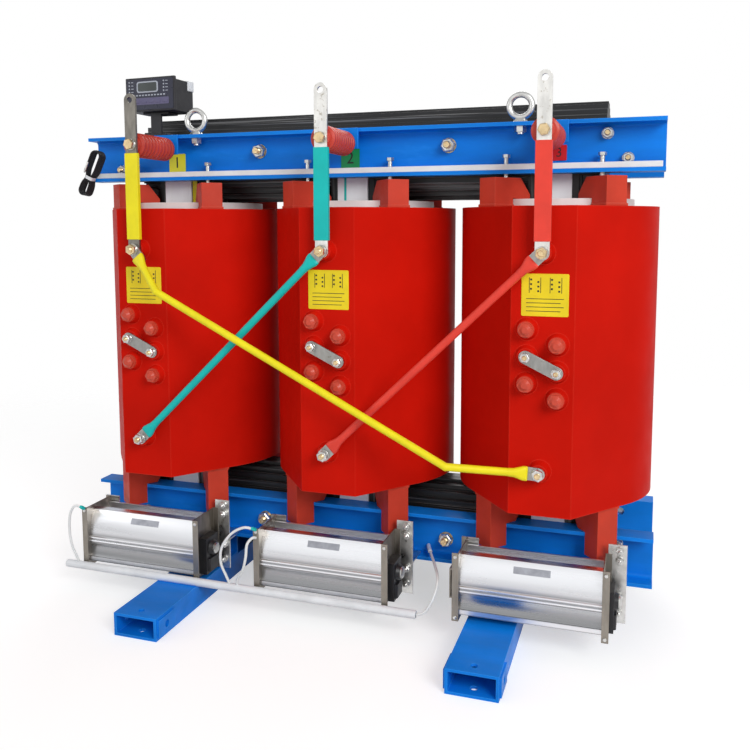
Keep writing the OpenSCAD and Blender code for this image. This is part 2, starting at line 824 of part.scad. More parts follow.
// Cross-flow drum: two end discs, a ring of curved blades and a shaft
module impeller_drum(length) {
    disc = 3;
    blade_t = 1.6;
    blade_w = 9;
    blade_turn = 25;
    rim = 1;
    shaft_over = fan_sheet + 4;
    for (z = [0, length - disc]) translate([0, 0, z]) cylinder(h = disc, d = impeller_d);
    for (n = [0 : impeller_blades - 1]) rotate(n * 360 / impeller_blades)
        translate([impeller_d / 2 - blade_w, 0, 0]) rotate(blade_turn) cube([blade_w - rim, blade_t, length]);
    translate([0, 0, -shaft_over]) cylinder(h = length + 2 * shaft_over, d = shaft_d);
}

module fan_impellers() {
    side_gap = 4;
    drum_l = housing_l - 2 * side_gap;
    color("#2a2c30") for (place = fan_places) at_fan(place)
        translate([-drum_l / 2, shaft_y, shaft_z]) rotate([0, 90, 0]) impeller_drum(drum_l);
}

// Shaded-pole motor: laminated frame with the rotor round the shaft at its top and the coil at its foot
module fan_motors() {
    web_x = fan_l / 2 - fan_flange + fan_sheet;
    frame = [20, 54, 84];
    over_shaft = 28;
    bell_l = 8;
    bell_d = 38;
    bell_end_d = 30;
    coil = [30, 42, 30];
    coil_up = 5;
    color("#1a1a1c") for (place = fan_places) at_fan(place) translate([web_x, shaft_y, shaft_z]) {
        translate([0, -frame.y / 2, over_shaft - frame.z]) cube(frame);
        translate([frame.x, 0, 0]) rotate([0, 90, 0]) cylinder(h = bell_l, d1 = bell_d, d2 = bell_end_d);
        translate([0, 0, over_shaft - frame.z + coil_up]) linear_extrude(coil.z) hull() {
            translate([0, -coil.y / 2]) square([frame.x, coil.y]);
            for (s = sides) translate([coil.x / 2 + frame.x / 4, s * (coil.y - coil.x / 3) / 2])
                circle(d = coil.x / 3);
        }
    }
}

// Angles behind the fan ends that hang the fans on the lower clamps; the right ones stand out past the fans
module fan_brackets() {
    angle_w = 37;
    angle_t = 4;
    behind_fan = 8;
    over_fan = 20;
    uprights = [[-fan_l / 2, fan_plate_h], [fan_l / 2 - behind_fan, fan_plate_h + over_fan]];
    reach = fan_front - fan_d - flange_y + clamp_flange / 2;
    seat = low_clamp_z + clamp_t - fan_z;
    color("#b9bcc0") for (place = fan_places, u = uprights) at_fan(place) translate([u.x, fan_d, 0]) {
        cube([angle_w, angle_t, u.y]);
        translate([0, 0, seat]) cube([angle_w, reach, angle_t]);
    }
}

module fan_conduit() {
    length = conduit_right - conduit_left;
    color("white") translate([conduit_left, -fan_front - conduit_d / 2, fan_z + conduit_up])
        rotate([0, 90, 0]) difference() {
            cylinder(h = length, d = conduit_d);
            translate([0, 0, -cut]) cylinder(h = length + 2 * cut, d = conduit_d - 2 * conduit_wall);
        }
}

// Low-voltage connections at the rear

// Cranked bar outline as [y, z], from the coil up past the clamp flange
module cranked_outline(top, low_y, high_y, crank_z) {
    t = lv_bar_t;
    crank = high_y - low_y;
    polygon([[low_y, coil_top], [low_y + t, coil_top], [low_y + t, crank_z],
             [low_y + t + crank, crank_z + crank], [high_y + t, top], [high_y, top],
             [high_y, crank_z + crank + t / 2], [low_y, crank_z + t / 2]]);
}

module lv_bars() {
    top = clamp_top + lv_bar_over;
    top_hole = top - lv_hole_in;
    color("#c7c2b8") for (i = limbs) translate([limb_x(i) + lv_bar_x, 0, 0]) difference() {
        along_x(lv_bar_w) cranked_outline(top, lv_mid_y, lv_back_y, coil_top + crank_up);
        for (s = sides, z = [top_hole, top_hole - lv_hole_pitch.y])
            translate([s * lv_hole_pitch.x / 2, lv_back_y - cut, z]) rotate([-90, 0, 0])
                cylinder(h = lv_bar_t + 2 * cut, d = bar_hole_d);
    }
}

// Neutral: one riser per coil, joined by a bar along X with a two-hole terminal at its right end
module neutral_risers() {
    color("#c7c2b8") for (i = limbs) translate([limb_x(i) + riser_x, 0, 0]) along_x(riser_w)
        cranked_outline(neutral_z + neutral_h, lv_mid_y, neutral_y, coil_top + crank_up);
}

module neutral_bar() {
    left = limb_x(0) + riser_x - riser_w / 2;
    length = 2 * limb_pitch + riser_w + neutral_tail;
    color("#c7c2b8") translate([left, neutral_y + lv_bar_t, neutral_z]) difference() {
        cube([length, lv_bar_t, neutral_h]);
        for (x = neutral_holes) translate([length - x, -cut, neutral_h / 2]) rotate([-90, 0, 0])
            cylinder(h = lv_bar_t + 2 * cut, d = bar_hole_d);
    }
}

// Leads

// Point on a smooth curve through four points, from b to c
function blend(a, b, c, d, t) =
    b + t / 2 * (c - a) + t * t * (a - 2.5 * b + 2 * c - 0.5 * d) + t * t * t * (1.5 * (b - c) + (d - a) / 2);
function smooth_route(p, parts) = [
    for (n = [0 : len(p) - 2]) for (k = [0 : parts - 1])
        blend(p[max(n - 1, 0)], p[n], p[n + 1], p[min(n + 2, len(p) - 1)], k / parts),
    p[len(p) - 1]];
function unit(v) = v / norm(v);

// Tube of round section swept along a route that stays near the plane y = constant
module swept_tube(route, d) {
    corners = 8;
    count = len(route);
    rings = [for (n = [0 : count - 1])
        let (along = unit(route[min(n + 1, count - 1)] - route[max(n - 1, 0)]))
        let (across = unit(cross(along, [0.3, 0.5, 0.81])))
        let (up = cross(across, along))
        for (c = [0 : corners - 1])
            route[n] + d / 2 * (cos(360 * c / corners) * across + sin(360 * c / corners) * up)];
    walls = [for (n = [0 : count - 2]) for (c = [0 : corners - 1])
        let (next = (c + 1) % corners)
        [n * corners + c, n * corners + next, (n + 1) * corners + next, (n + 1) * corners + c]];
    first = [for (c = [corners - 1 : -1 : 0]) c];
    last = [for (c = [0 : corners - 1]) (count - 1) * corners + c];
    polyhedron(rings, concat(walls, [first, last]));
}

module fan_lead(n) {
    color("white") swept_tube(smooth_route(lead_routes[n], 2), lead_d);
}

module sensor_cable_hank() {
    color("#16171a") translate(hank_place) rotate([90, 0, 0]) rotate(hank_lean + 180) linear_extrude(hank_t)
        round_bar(hank_l, hank_w);
}

core_yoke(top_yoke_z);  // core_upper_yoke
core_yoke(low_yoke_z);  // core_lower_yoke
core_limb(0);  // core_limb_1
core_limb(1);  // core_limb_2
core_limb(2);  // core_limb_3
limb_tie_plates();
clamp(-1, top_clamp_z);  // upper_clamp_front
clamp(1, top_clamp_z);  // upper_clamp_rear
clamp(-1, low_clamp_z);  // lower_clamp_front
clamp(1, low_clamp_z);  // lower_clamp_rear
skid(-1);  // skid_left
skid(1);  // skid_right
skid_feet();
lv_coil(0);  // lv_coil_1
lv_coil(1);  // lv_coil_2
lv_coil(2);  // lv_coil_3
barrier_cylinders();
hv_coil(0);  // hv_coil_1
hv_coil(1);  // hv_coil_2
hv_coil(2);  // hv_coil_3
upper_press_blocks();
lower_press_blocks();
press_screws();
insulator_plates();
post_insulators();
hv_bar(0);  // hv_bar_1
hv_bar(1);  // hv_bar_2
hv_bar(2);  // hv_bar_3
hv_sleeve(0, phase_tint[0]);  // hv_sleeve_1
hv_sleeve(1, phase_tint[1]);  // hv_sleeve_2
hv_sleeve(2, phase_tint[2]);  // hv_sleeve_3
delta_link(0);  // delta_link_1
delta_link(1);  // delta_link_2
delta_link(2);  // delta_link_3
delta_sleeve(0, phase_tint[0]);  // delta_sleeve_1
delta_sleeve(1, phase_tint[1]);  // delta_sleeve_2
delta_sleeve(2, phase_tint[2]);  // delta_sleeve_3
tap_links();
tap_caps();
lifting_eyes();
controller_box();
controller_stand();
sensor_trunking();
fan_housings(-1);  // fan_housings_front
fan_housings(1);  // fan_housings_rear
fan_end_plates();
fan_impellers();
fan_motors();
fan_brackets();
fan_conduit();
lv_bars();
neutral_risers();
neutral_bar();
fan_lead(0);  // fan_lead_1
fan_lead(1);  // fan_lead_2
fan_lead(2);  // fan_lead_3
fan_lead(3);  // fan_lead_4
sensor_cable_hank();
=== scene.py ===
"""Finishes, fasteners, plates and leads of a dry-type cast-resin power transformer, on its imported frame."""
import json
import math

import bmesh
import bpy
from mathutils import Matrix, Vector


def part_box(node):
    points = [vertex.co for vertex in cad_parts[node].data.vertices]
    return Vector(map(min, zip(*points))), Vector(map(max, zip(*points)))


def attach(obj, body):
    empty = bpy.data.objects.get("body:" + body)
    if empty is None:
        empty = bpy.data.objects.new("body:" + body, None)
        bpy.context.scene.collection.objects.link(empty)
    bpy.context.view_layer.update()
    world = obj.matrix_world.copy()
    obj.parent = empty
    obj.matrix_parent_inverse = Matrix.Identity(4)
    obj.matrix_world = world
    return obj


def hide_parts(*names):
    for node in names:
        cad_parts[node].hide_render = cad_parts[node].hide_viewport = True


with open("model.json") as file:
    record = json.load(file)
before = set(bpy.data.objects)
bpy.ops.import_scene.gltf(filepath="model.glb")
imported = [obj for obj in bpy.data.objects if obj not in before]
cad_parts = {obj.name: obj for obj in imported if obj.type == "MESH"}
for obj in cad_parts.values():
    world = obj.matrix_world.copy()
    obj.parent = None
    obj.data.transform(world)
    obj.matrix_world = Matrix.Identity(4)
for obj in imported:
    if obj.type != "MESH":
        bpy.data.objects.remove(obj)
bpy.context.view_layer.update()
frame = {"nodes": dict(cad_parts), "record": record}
nodes = frame["nodes"]

LIMBS = (0, 1, 2)
SIDES = (-1, 1)
RIGHT = Vector((1, 0, 0))
FRONT = Vector((0, -1, 0))
REAR = Vector((0, 1, 0))
UP = Vector((0, 0, 1))

# Sizes that the part's source gives, in metres
BAR_W = 0.028
LUG_T = 0.005
LUG_W = 0.026
BOSS_L = 0.022
TAP_L = 0.013
TAP_HALF = 0.030
TAP_DROP = 0.029
CLAMP_T = 0.008
FLANGE_MID = -0.125
FAN_SHIFT = 0.015
FAN_HALF = 0.156
FAN_DEPTH = 0.095


def middle(node):
    low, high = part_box(node)
    return (low + high) / 2


# Places read from the frame, in metres
LIMB_X = [middle(f"hv_bar_{i + 1}").x for i in LIMBS]
BAR_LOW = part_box("hv_bar_1")[0]
TOP_CLAMP_LOW, TOP_CLAMP_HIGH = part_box("upper_clamp_front")
LOW_CLAMP_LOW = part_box("lower_clamp_front")[0]
BOSS_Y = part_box("hv_coil_1")[0].y
PANEL_Y = BOSS_Y + BOSS_L
BAR_Y = BAR_LOW.y
WEB_Y = TOP_CLAMP_HIGH.y - CLAMP_T
WEB_UP = (TOP_CLAMP_HIGH.z - TOP_CLAMP_LOW.z) / 2
POST_Z = middle("post_insulators").z
TERM_TOP_Z = BAR_LOW.z + BAR_W / 2
TERM_LOW_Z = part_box("delta_link_2")[0].z + LUG_W / 2
TAP_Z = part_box("tap_links")[1].z - LUG_W / 2
FAN_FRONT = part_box("fan_end_plates")[0].y

# Camera, fitted to the photograph's frame of 750 by 750 pixels
FRAME_PX = 750
FOCAL_PX = 831.94
CENTRE_PX = (375.07, 309.48)
SENSOR_MM = 36
CAMERA_AT = (0.6428, -1.8908, 0.8685)
CAMERA_YAW = 18.20
CAMERA_PITCH = 5.96
CAMERA_ROLL = -0.11


def link_object(name, data):
    obj = bpy.data.objects.new(name, data)
    bpy.context.scene.collection.objects.link(obj)
    return obj


def make_camera():
    data = bpy.data.cameras.new("camera")
    data.sensor_width = SENSOR_MM
    data.lens = FOCAL_PX / FRAME_PX * SENSOR_MM
    data.shift_x = (FRAME_PX / 2 - CENTRE_PX[0]) / FRAME_PX
    data.shift_y = (CENTRE_PX[1] - FRAME_PX / 2) / FRAME_PX
    camera = link_object("camera", data)
    camera.location = CAMERA_AT
    turn = Matrix.Rotation(math.radians(CAMERA_YAW), 4, "Z")
    tilt = Matrix.Rotation(math.radians(90 - CAMERA_PITCH), 4, "X")
    roll = Matrix.Rotation(math.radians(CAMERA_ROLL), 4, "Z")
    camera.rotation_euler = (turn @ tilt @ roll).to_euler()
    bpy.context.scene.camera = camera


make_camera()


# Materials

EDGE_DOTS = (0.82, 0.97)  # cosines between the rounded and the flat normal, at an edge and beside it


class Look:
    """A procedural material whose textures lie in object space, in metres."""

    def __init__(self, name, colour, rough, metal=0.0, **sockets):
        self.mat = bpy.data.materials.new(name)
        self.mat.use_nodes = True
        self.tree = self.mat.node_tree
        self.shader = self.tree.nodes["Principled BSDF"]
        self.colour = colour
        self.rough = rough
        self.shader.inputs["Base Color"].default_value = (*colour, 1)
        self.shader.inputs["Roughness"].default_value = rough
        self.shader.inputs["Metallic"].default_value = metal
        for socket, value in sockets.items():
            self.shader.inputs[socket.replace("_", " ")].default_value = value
        self.place = self.new("ShaderNodeTexCoord").outputs["Object"]
        self.base = None
        self.height = None

    def new(self, kind):
        return self.tree.nodes.new(kind)

    def link(self, source, target):
        self.tree.links.new(source, target)

    def stretched(self, stretch):
        mapping = self.new("ShaderNodeMapping")
        mapping.inputs["Scale"].default_value = stretch
        self.link(self.place, mapping.inputs["Vector"])
        return mapping.outputs["Vector"]

    def noise(self, scale, detail=3.0, stretch=(1, 1, 1), roughness=0.55):
        node = self.new("ShaderNodeTexNoise")
        node.inputs["Scale"].default_value = scale
        node.inputs["Detail"].default_value = detail
        node.inputs["Roughness"].default_value = roughness
        self.link(self.stretched(stretch), node.inputs["Vector"])
        return node.outputs["Fac"]

    def bands(self, axis, scale, distortion=0.0):
        node = self.new("ShaderNodeTexWave")
        node.bands_direction = axis
        node.inputs["Scale"].default_value = scale
        node.inputs["Distortion"].default_value = distortion
        self.link(self.place, node.inputs["Vector"])
        return node.outputs["Fac"]

    def on_ends(self, fac, end_fac):
        """fac on most faces, and end_fac on those that look along x."""
        face = self.new("ShaderNodeNewGeometry")
        parts = self.new("ShaderNodeSeparateXYZ")
        square = self.new("ShaderNodeMath")
        square.operation = "MULTIPLY"
        mix = self.new("ShaderNodeMix")
        self.link(face.outputs["Normal"], parts.inputs["Vector"])
        for socket in square.inputs[:2]:
            self.link(parts.outputs["X"], socket)
        self.link(self.spread(square.outputs["Value"], 0, 1), mix.inputs["Factor"])
        self.link(fac, mix.inputs["A"])
        self.link(end_fac, mix.inputs["B"])
        return mix.outputs["Result"]

    def spread(self, fac, low, high, start=0.3, end=0.7):
        """Values from low to high while fac goes from start to end."""
        node = self.new("ShaderNodeMapRange")
        for socket, value in (("From Min", start), ("From Max", end), ("To Min", low), ("To Max", high)):
            node.inputs[socket].default_value = value
        self.link(fac, node.inputs["Value"])
        return node.outputs["Result"]

    def cover(self, fac, colour):
        """Mixes a colour over the base colour so far, by fac."""
        mix = self.new("ShaderNodeMix")
        mix.data_type = "RGBA"
        mix.inputs["B"].default_value = (*colour, 1)
        self.link(fac, mix.inputs["Factor"])
        self.link(mix.outputs["Result"], self.shader.inputs["Base Color"])
        if self.base is not None:
            self.link(self.base.outputs["Result"], mix.inputs["A"])
        self.base = mix
        return self

    def tint(self, fac, dark, light):
        """Base colour from dark to light, as shares of the material's colour."""
        self.cover(self.spread(fac, 0, 1), [light * v for v in self.colour])
        self.base.inputs["A"].default_value = (*(dark * v for v in self.colour), 1)
        return self

    def stain(self, fac, colour, start, end):
        """Another colour over the tint, where fac is high."""
        return self.cover(self.spread(fac, 0, 1, start, end), colour)

    def roughen(self, fac, low, high):
        self.link(self.spread(fac, self.rough * low, self.rough * high), self.shader.inputs["Roughness"])
        return self

    def bump(self, fac, depth, strength=1.0):
        """Raises the surface by up to depth metres where fac is high."""
        node = self.new("ShaderNodeBump")
        node.inputs["Strength"].default_value = strength
        node.inputs["Distance"].default_value = depth
        self.link(fac, node.inputs["Height"])
        if self.height is not None:
            self.link(self.height.outputs["Normal"], node.inputs["Normal"])
        self.link(node.outputs["Normal"], self.shader.inputs["Normal"])
        self.height = node
        return self

    def edges(self, radius, colour, share):
        """Paler colour along the edges: a thinner coat on some finishes, a painted highlight on others."""
        bevel = self.new("ShaderNodeBevel")
        bevel.samples = 4
        bevel.inputs["Radius"].default_value = radius
        face = self.new("ShaderNodeNewGeometry")
        dot = self.new("ShaderNodeVectorMath")
        dot.operation = "DOT_PRODUCT"
        self.link(bevel.outputs["Normal"], dot.inputs[0])
        self.link(face.outputs["Normal"], dot.inputs[1])
        return self.stain(self.spread(dot.outputs["Value"], share, 0, *EDGE_DOTS), colour, 0, 1)


def coil_red():
    look = Look("coil_red", (0.600, 0.0092, 0.0033), 0.44, Specular_IOR_Level=0.03)
    # The paler edges are a painted highlight along the coil's edges
    look.tint(look.noise(4.5, 4), 0.88, 1.08).edges(0.004, (0.74, 0.055, 0.03), 0.75)
    look.roughen(look.noise(16, 4), 0.85, 1.2)
    return look.bump(look.noise(9, 2), 0.0006, 0.5).bump(look.noise(420, 2), 0.00006, 0.6).mat


def block_red():
    look = Look("block_red", (0.600, 0.050, 0.024), 0.46, Specular_IOR_Level=0.2)
    look.tint(look.noise(14, 4), 0.86, 1.08).edges(0.002, (0.76, 0.13, 0.08), 0.75)
    look.roughen(look.noise(40, 3), 0.85, 1.2)
    return look.bump(look.noise(260, 3), 0.00012, 0.6).mat


def insulator_red():
    look = Look("insulator_red", (0.540, 0.045, 0.026), 0.38, Specular_IOR_Level=0.4)
    look.tint(look.noise(20, 3), 0.86, 1.1).roughen(look.noise(60, 3), 0.8, 1.25)
    return look.bump(look.noise(300, 2), 0.00005, 0.6).mat


def frame_blue():
    look = Look("frame_blue", (0.003, 0.215, 0.800), 0.42, Specular_IOR_Level=0.16)
    look.tint(look.noise(9, 5, (0.35, 1, 1.6)), 0.78, 1.15)
    look.stain(look.noise(7, 5, (0.6, 1, 2.4), 0.7), (0.016, 0.280, 0.880), 0.60, 0.80)
    look.edges(0.003, (0.05, 0.36, 0.92), 0.6).roughen(look.noise(26, 4, (0.4, 1, 1)), 0.8, 1.25)
    return look.bump(look.noise(160, 3, (0.5, 1, 1)), 0.00012, 0.6).mat


# Stretches of noise: sheets of the core and lines that tools leave in metal
LIMB_SHEETS = (0.5, 1, 0.01)
YOKE_SHEETS = (0.01, 1, 1)
SHEET_ENDS = (1, 1, 0.01)
ROLLED = (1, 1, 0.35)
PLATE_ROLLED = (1, 1, 0.3)
DRAWN = (0.04, 1, 1)


def lacquer(name, run):
    """Black core lacquer with the edges of the sheets showing here and there, in lines across the run."""
    look = Look(name, (0.0085, 0.0088, 0.0100), 0.38, Specular_IOR_Level=0.4)
    sheets = look.on_ends(look.noise(210, 2, run, 0.65), look.noise(210, 2, SHEET_ENDS, 0.65))
    look.tint(look.noise(30, 4, run), 0.6, 1.6).stain(sheets, (0.160, 0.162, 0.168), 0.54, 0.66)
    look.roughen(look.noise(60, 3, run), 0.8, 1.4)
    return look.bump(sheets, 0.0005, 0.5).mat


def metal_grain(look, grain):
    look.roughen(look.noise(85, 3, grain), 0.75, 1.35)
    return look.bump(look.noise(520, 2, grain), 0.00004, 0.5).mat


def metal(name, colour, rough, dark=0.80, light=1.10, grain=(1, 1, 1), spots=None, edge_highlight=None):
    """Bare metal, with stains in the colour of spots and, where an edge colour is given, a painted highlight
    along the edges in it.
    """
    look = Look(name, colour, rough, 1.0)
    look.tint(look.noise(60, 4, grain), dark, light)
    if spots:
        look.stain(look.noise(130, 3), spots, 0.60, 0.74)
    if edge_highlight:
        look.edges(0.0018, edge_highlight, 0.85)
    return metal_grain(look, grain)


def aluminium_with_painted_shade(name, colour, rough, low, stops):
    """Drawn metal with painted shade and highlight in bands over its height: stops are (height above low, share
    of the colour).
    """
    look = Look(name, colour, rough, 1.0)
    split = look.new("ShaderNodeSeparateXYZ")
    look.link(look.place, split.inputs["Vector"])
    ramp = look.new("ShaderNodeValToRGB")
    top = stops[-1][0]
    while len(ramp.color_ramp.elements) < len(stops):
        ramp.color_ramp.elements.new(1.0)
    for element, (height, share) in zip(ramp.color_ramp.elements, stops):
        element.position = height / top
        element.color = (*(share * c for c in colour), 1)
    look.link(look.spread(split.outputs["Z"], 0, 1, low, low + top), ramp.inputs["Fac"])
    look.link(ramp.outputs["Color"], look.shader.inputs["Base Color"])
    return metal_grain(look, DRAWN)


def plastic(name, colour, rough, grain=700, light=1.06):
    look = Look(name, colour, rough, Specular_IOR_Level=0.35)
    look.tint(look.noise(22, 3), 0.92, light).roughen(look.noise(70, 3), 0.85, 1.2)
    return look.bump(look.noise(grain, 2), 0.00004, 0.6).mat


def lv_resin():
    look = Look("lv_resin", (0.42, 0.30, 0.14), 0.5)
    look.tint(look.noise(18, 4, (1, 1, 0.4)), 0.75, 1.15).roughen(look.noise(40, 3), 0.8, 1.2)
    return look.bump(look.bands("Z", 90, 0.3), 0.0004, 0.4).mat


def tie_paint():
    look = Look("tie_zinc", (0.92, 0.94, 0.98), 0.42, Specular_IOR_Level=0.35)
    look.tint(look.noise(16, 4, PLATE_ROLLED), 0.88, 1.05).roughen(look.noise(50, 3, PLATE_ROLLED), 0.8, 1.3)
    return look.bump(look.noise(220, 2), 0.00005, 0.5).mat


FAN_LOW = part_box("fan_housings_front")[0].z
# Painted light and shade on the fan housings by height: pale on the beads and top, dark in grooves and hollows
FAN_PAINTED_SHADE_BANDS = ((0.000, 0.35), (0.003, 0.95), (0.009, 0.95), (0.012, 0.30), (0.030, 0.45), (0.043, 0.70),
             (0.045, 0.30), (0.048, 1.00), (0.052, 1.00), (0.0545, 0.30), (0.057, 1.00), (0.060, 0.95),
             (0.0625, 0.40), (0.070, 0.75), (0.085, 0.95), (0.120, 1.00))
STEEL = (0.66, 0.66, 0.645)
TIN = (0.82, 0.81, 0.78)
MATERIALS = {
    "core_lacquer": lacquer("core_lacquer", LIMB_SHEETS),
    "tie_zinc": tie_paint(),
    "frame_blue": frame_blue(),
    "lv_resin": lv_resin(),
    "barrier_white": plastic("barrier_white", (0.80, 0.80, 0.79), 0.5, 300),
    "coil_red": coil_red(),
    "block_red": block_red(),
    "insulator_red": insulator_red(),
    "zinc_steel": metal("zinc_steel", STEEL, 0.32),
    "tinned_copper": metal("tinned_copper", TIN, 0.36, grain=ROLLED, spots=(0.46, 0.42, 0.36)),
    "sleeve_yellow": plastic("sleeve_yellow", (0.90, 0.78, 0.010), 0.42),
    "sleeve_teal": plastic("sleeve_teal", (0.003, 0.52, 0.49), 0.42),
    "sleeve_red": plastic("sleeve_red", (0.82, 0.055, 0.034), 0.42),
    "controller_black": plastic("controller_black", (0.020, 0.020, 0.024), 0.45, 900, light=1.3),
    "white_plastic": plastic("white_plastic", (0.80, 0.82, 0.85), 0.34),
    # The fan housings' colour carries painted shade and highlight in bands over their height
    "fan_aluminium": aluminium_with_painted_shade("fan_aluminium", (0.84, 0.85, 0.88), 0.28, FAN_LOW, FAN_PAINTED_SHADE_BANDS),
    "plate_grey": metal("plate_grey", (0.30, 0.275, 0.24), 0.42, grain=PLATE_ROLLED),
    "fan_black": plastic("fan_black", (0.016, 0.016, 0.018), 0.36, 500, light=1.4),
    "white_cable": plastic("white_cable", (0.82, 0.84, 0.84), 0.36),
    "black_cable": plastic("black_cable", (0.012, 0.012, 0.014), 0.34, 600, light=1.5),
}
YOKE_LACQUER = lacquer("yoke_lacquer", YOKE_SHEETS)
# Tin of the links, with a painted highlight along their edges
LINK_TIN = metal("link_tin", (0.36, 0.355, 0.34), 0.42, 0.75, 1.2, ROLLED,
                 spots=(0.24, 0.22, 0.19), edge_highlight=(0.80, 0.79, 0.76))
CAP_RED = plastic("cap_red", (0.62, 0.070, 0.038), 0.34)
DULL_TIN = metal("dull_tin", (0.24, 0.225, 0.20), 0.50, 0.7, 1.25, ROLLED)
BRASS = metal("brass", (0.76, 0.58, 0.33), 0.30, 0.75, 1.15, spots=(0.46, 0.27, 0.15))
LABEL_YELLOW = plastic("label_yellow", (0.88, 0.68, 0.012), 0.42)
PLATE_YELLOW = plastic("plate_yellow", (0.80, 0.72, 0.03), 0.42)
PLATE_GREEN = plastic("plate_green", (0.006, 0.27, 0.075), 0.42)
PLATE_RED = plastic("plate_red", (0.62, 0.008, 0.012), 0.42)
PLATE_BARE = metal("plate_bare", (0.36, 0.37, 0.41), 0.42)
INK = plastic("ink", (0.02, 0.018, 0.015), 0.5)
PANEL_NAVY = plastic("panel_navy", (0.018, 0.020, 0.040), 0.30, light=1.3)
PANEL_BAND = plastic("panel_band", (0.115, 0.105, 0.20), 0.4)
PANEL_MARK = plastic("panel_mark", (0.42, 0.45, 0.52), 0.4)
SCREEN = plastic("screen", (0.045, 0.055, 0.055), 0.18, light=1.2)


# The frame's own pieces: their finish, and edges rounded by modifiers

SHARP = math.radians(32)
SAME_POINT = 1e-6
SAME_PLANE = math.radians(0.4)
EDGE_SEGMENTS = 2


def smooth_group():
    """Node group that shades round faces smooth and leaves real edges sharp."""
    group = bpy.data.node_groups.new("smooth_round_faces", "GeometryNodeTree")
    for way in ("INPUT", "OUTPUT"):
        group.interface.new_socket("Geometry", in_out=way, socket_type="NodeSocketGeometry")
    kinds = ("NodeGroupInput", "GeometryNodeRemoveAttribute", "GeometryNodeSetShadeSmooth",
             "GeometryNodeSetShadeSmooth", "NodeGroupOutput")
    chain = [group.nodes.new(kind) for kind in kinds]
    chain[1].inputs["Name"].default_value = "custom_normal"
    chain[3].domain = "EDGE"
    chain[3].inputs["Shade Smooth"].default_value = False
    for before, after in zip(chain, chain[1:]):
        group.links.new(before.outputs[0], after.inputs[0])
    angle = group.nodes.new("GeometryNodeInputMeshEdgeAngle")
    over = group.nodes.new("FunctionNodeCompare")
    over.operation = "GREATER_THAN"
    over.inputs["B"].default_value = SHARP
    group.links.new(angle.outputs["Unsigned Angle"], over.inputs["A"])
    group.links.new(over.outputs["Result"], chain[3].inputs["Selection"])
    return group


SMOOTH = smooth_group()


def soften(obj, width):
    """Joins the faces of a CAD mesh, shades them and rounds the edges to that width."""
    weld = obj.modifiers.new("weld", "WELD")
    weld.merge_threshold = SAME_POINT
    flat = obj.modifiers.new("flat_faces", "DECIMATE")
    flat.decimate_type = "DISSOLVE"
    flat.angle_limit = SAME_PLANE
    shade = obj.modifiers.new("shade", "NODES")
    shade.node_group = SMOOTH
    if width:
        bevel = obj.modifiers.new("edges", "BEVEL")
        bevel.width = width
        bevel.segments = EDGE_SEGMENTS
        bevel.limit_method = "ANGLE"
        bevel.angle_limit = SHARP
        bevel.harden_normals = True


EDGE_WIDTH = {
    "core_lacquer": 0.0006, "tie_zinc": 0.0008, "frame_blue": 0.0018, "lv_resin": 0.002,
    "barrier_white": 0.0008, "coil_red": 0.0040, "block_red": 0.0018, "insulator_red": 0.0007,
    "zinc_steel": 0.0008, "tinned_copper": 0.0008, "sleeve_yellow": 0.0014, "sleeve_teal": 0.0014,
    "sleeve_red": 0.0014, "controller_black": 0.0016, "white_plastic": 0.0012, "fan_aluminium": 0.0005,
    "plate_grey": 0.0005, "fan_black": 0.0006, "white_cable": 0, "black_cable": 0}
OWN_FINISH = {
    "hv_bar_1": DULL_TIN, "tap_caps": CAP_RED, "tap_links": LINK_TIN, "delta_link_1": LINK_TIN,
    "delta_link_2": LINK_TIN, "delta_link_3": LINK_TIN, "core_upper_yoke": YOKE_LACQUER,
    "core_lower_yoke": YOKE_LACQUER}


def dress_frame():
    for part in frame["record"]["subparts"]:
        obj = nodes[part["node"]]
        slot = part["material_slot"]
        if not obj.material_slots:
            obj.data.materials.append(None)
        for holder in obj.material_slots:
            holder.material = MATERIALS[slot]
        soften(obj, EDGE_WIDTH[slot])
    for name, material in OWN_FINISH.items():
        nodes[name].material_slots[0].material = material


dress_frame()


# Mesh tools for the added pieces

CHAMFER = 0.0004


def add_piece(name, bm, material, slot=None, smooth=True):
    """Turns a bmesh in the part's frame into a piece that rides on the body."""
    bmesh.ops.recalc_face_normals(bm, faces=bm.faces)
    mesh = bpy.data.meshes.new(name)
    bm.to_mesh(mesh)
    bm.free()
    mesh.materials.append(material)
    for face in mesh.polygons:
        face.use_smooth = smooth
    mesh.set_sharp_from_angle(angle=SHARP)
    obj = link_object(name, mesh)
    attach(obj, "root")
    return obj


def add_slot_piece(name, bm, slot):
    """A piece with the finish of one of the part's material slots."""
    return add_piece(name, bm, MATERIALS[slot], slot)


def axes_for(axis):
    """Two directions square to axis, and axis itself with length 1."""
    axis = Vector(axis).normalized()
    helper = UP if abs(axis.z) < 0.9 else RIGHT
    side = axis.cross(helper).normalized()
    return side, axis.cross(side), axis


def skin(bm, rings):
    """Faces between each ring of vertices and the next."""
    for low, high in zip(rings, rings[1:]):
        for k in range(len(low)):
            after = (k + 1) % len(low)
            bm.faces.new((low[k], low[after], high[after], high[k]))


def loft(bm, rings):
    """A closed solid over rings of points."""
    made = [[bm.verts.new(point) for point in ring] for ring in rings]
    skin(bm, made)
    bm.faces.new(made[0][::-1])
    bm.faces.new(made[-1])


def turned(bm, at, axis, profile, sides=24, turn=0.0):
    """A closed turned solid from (radius, height) pairs that go from the foot up along axis."""
    side, other, axis = axes_for(axis)
    angles = [turn + 2 * math.pi * k / sides for k in range(sides)]
    loft(bm, [[Vector(at) + axis * height + radius * (math.cos(a) * side + math.sin(a) * other) for a in angles]
              for radius, height in profile])


def washer(bm, at, axis, d, thick):
    r = d / 2
    turned(bm, at, axis, [(r - CHAMFER, 0), (r, CHAMFER), (r, thick - CHAMFER), (r - CHAMFER, thick)])


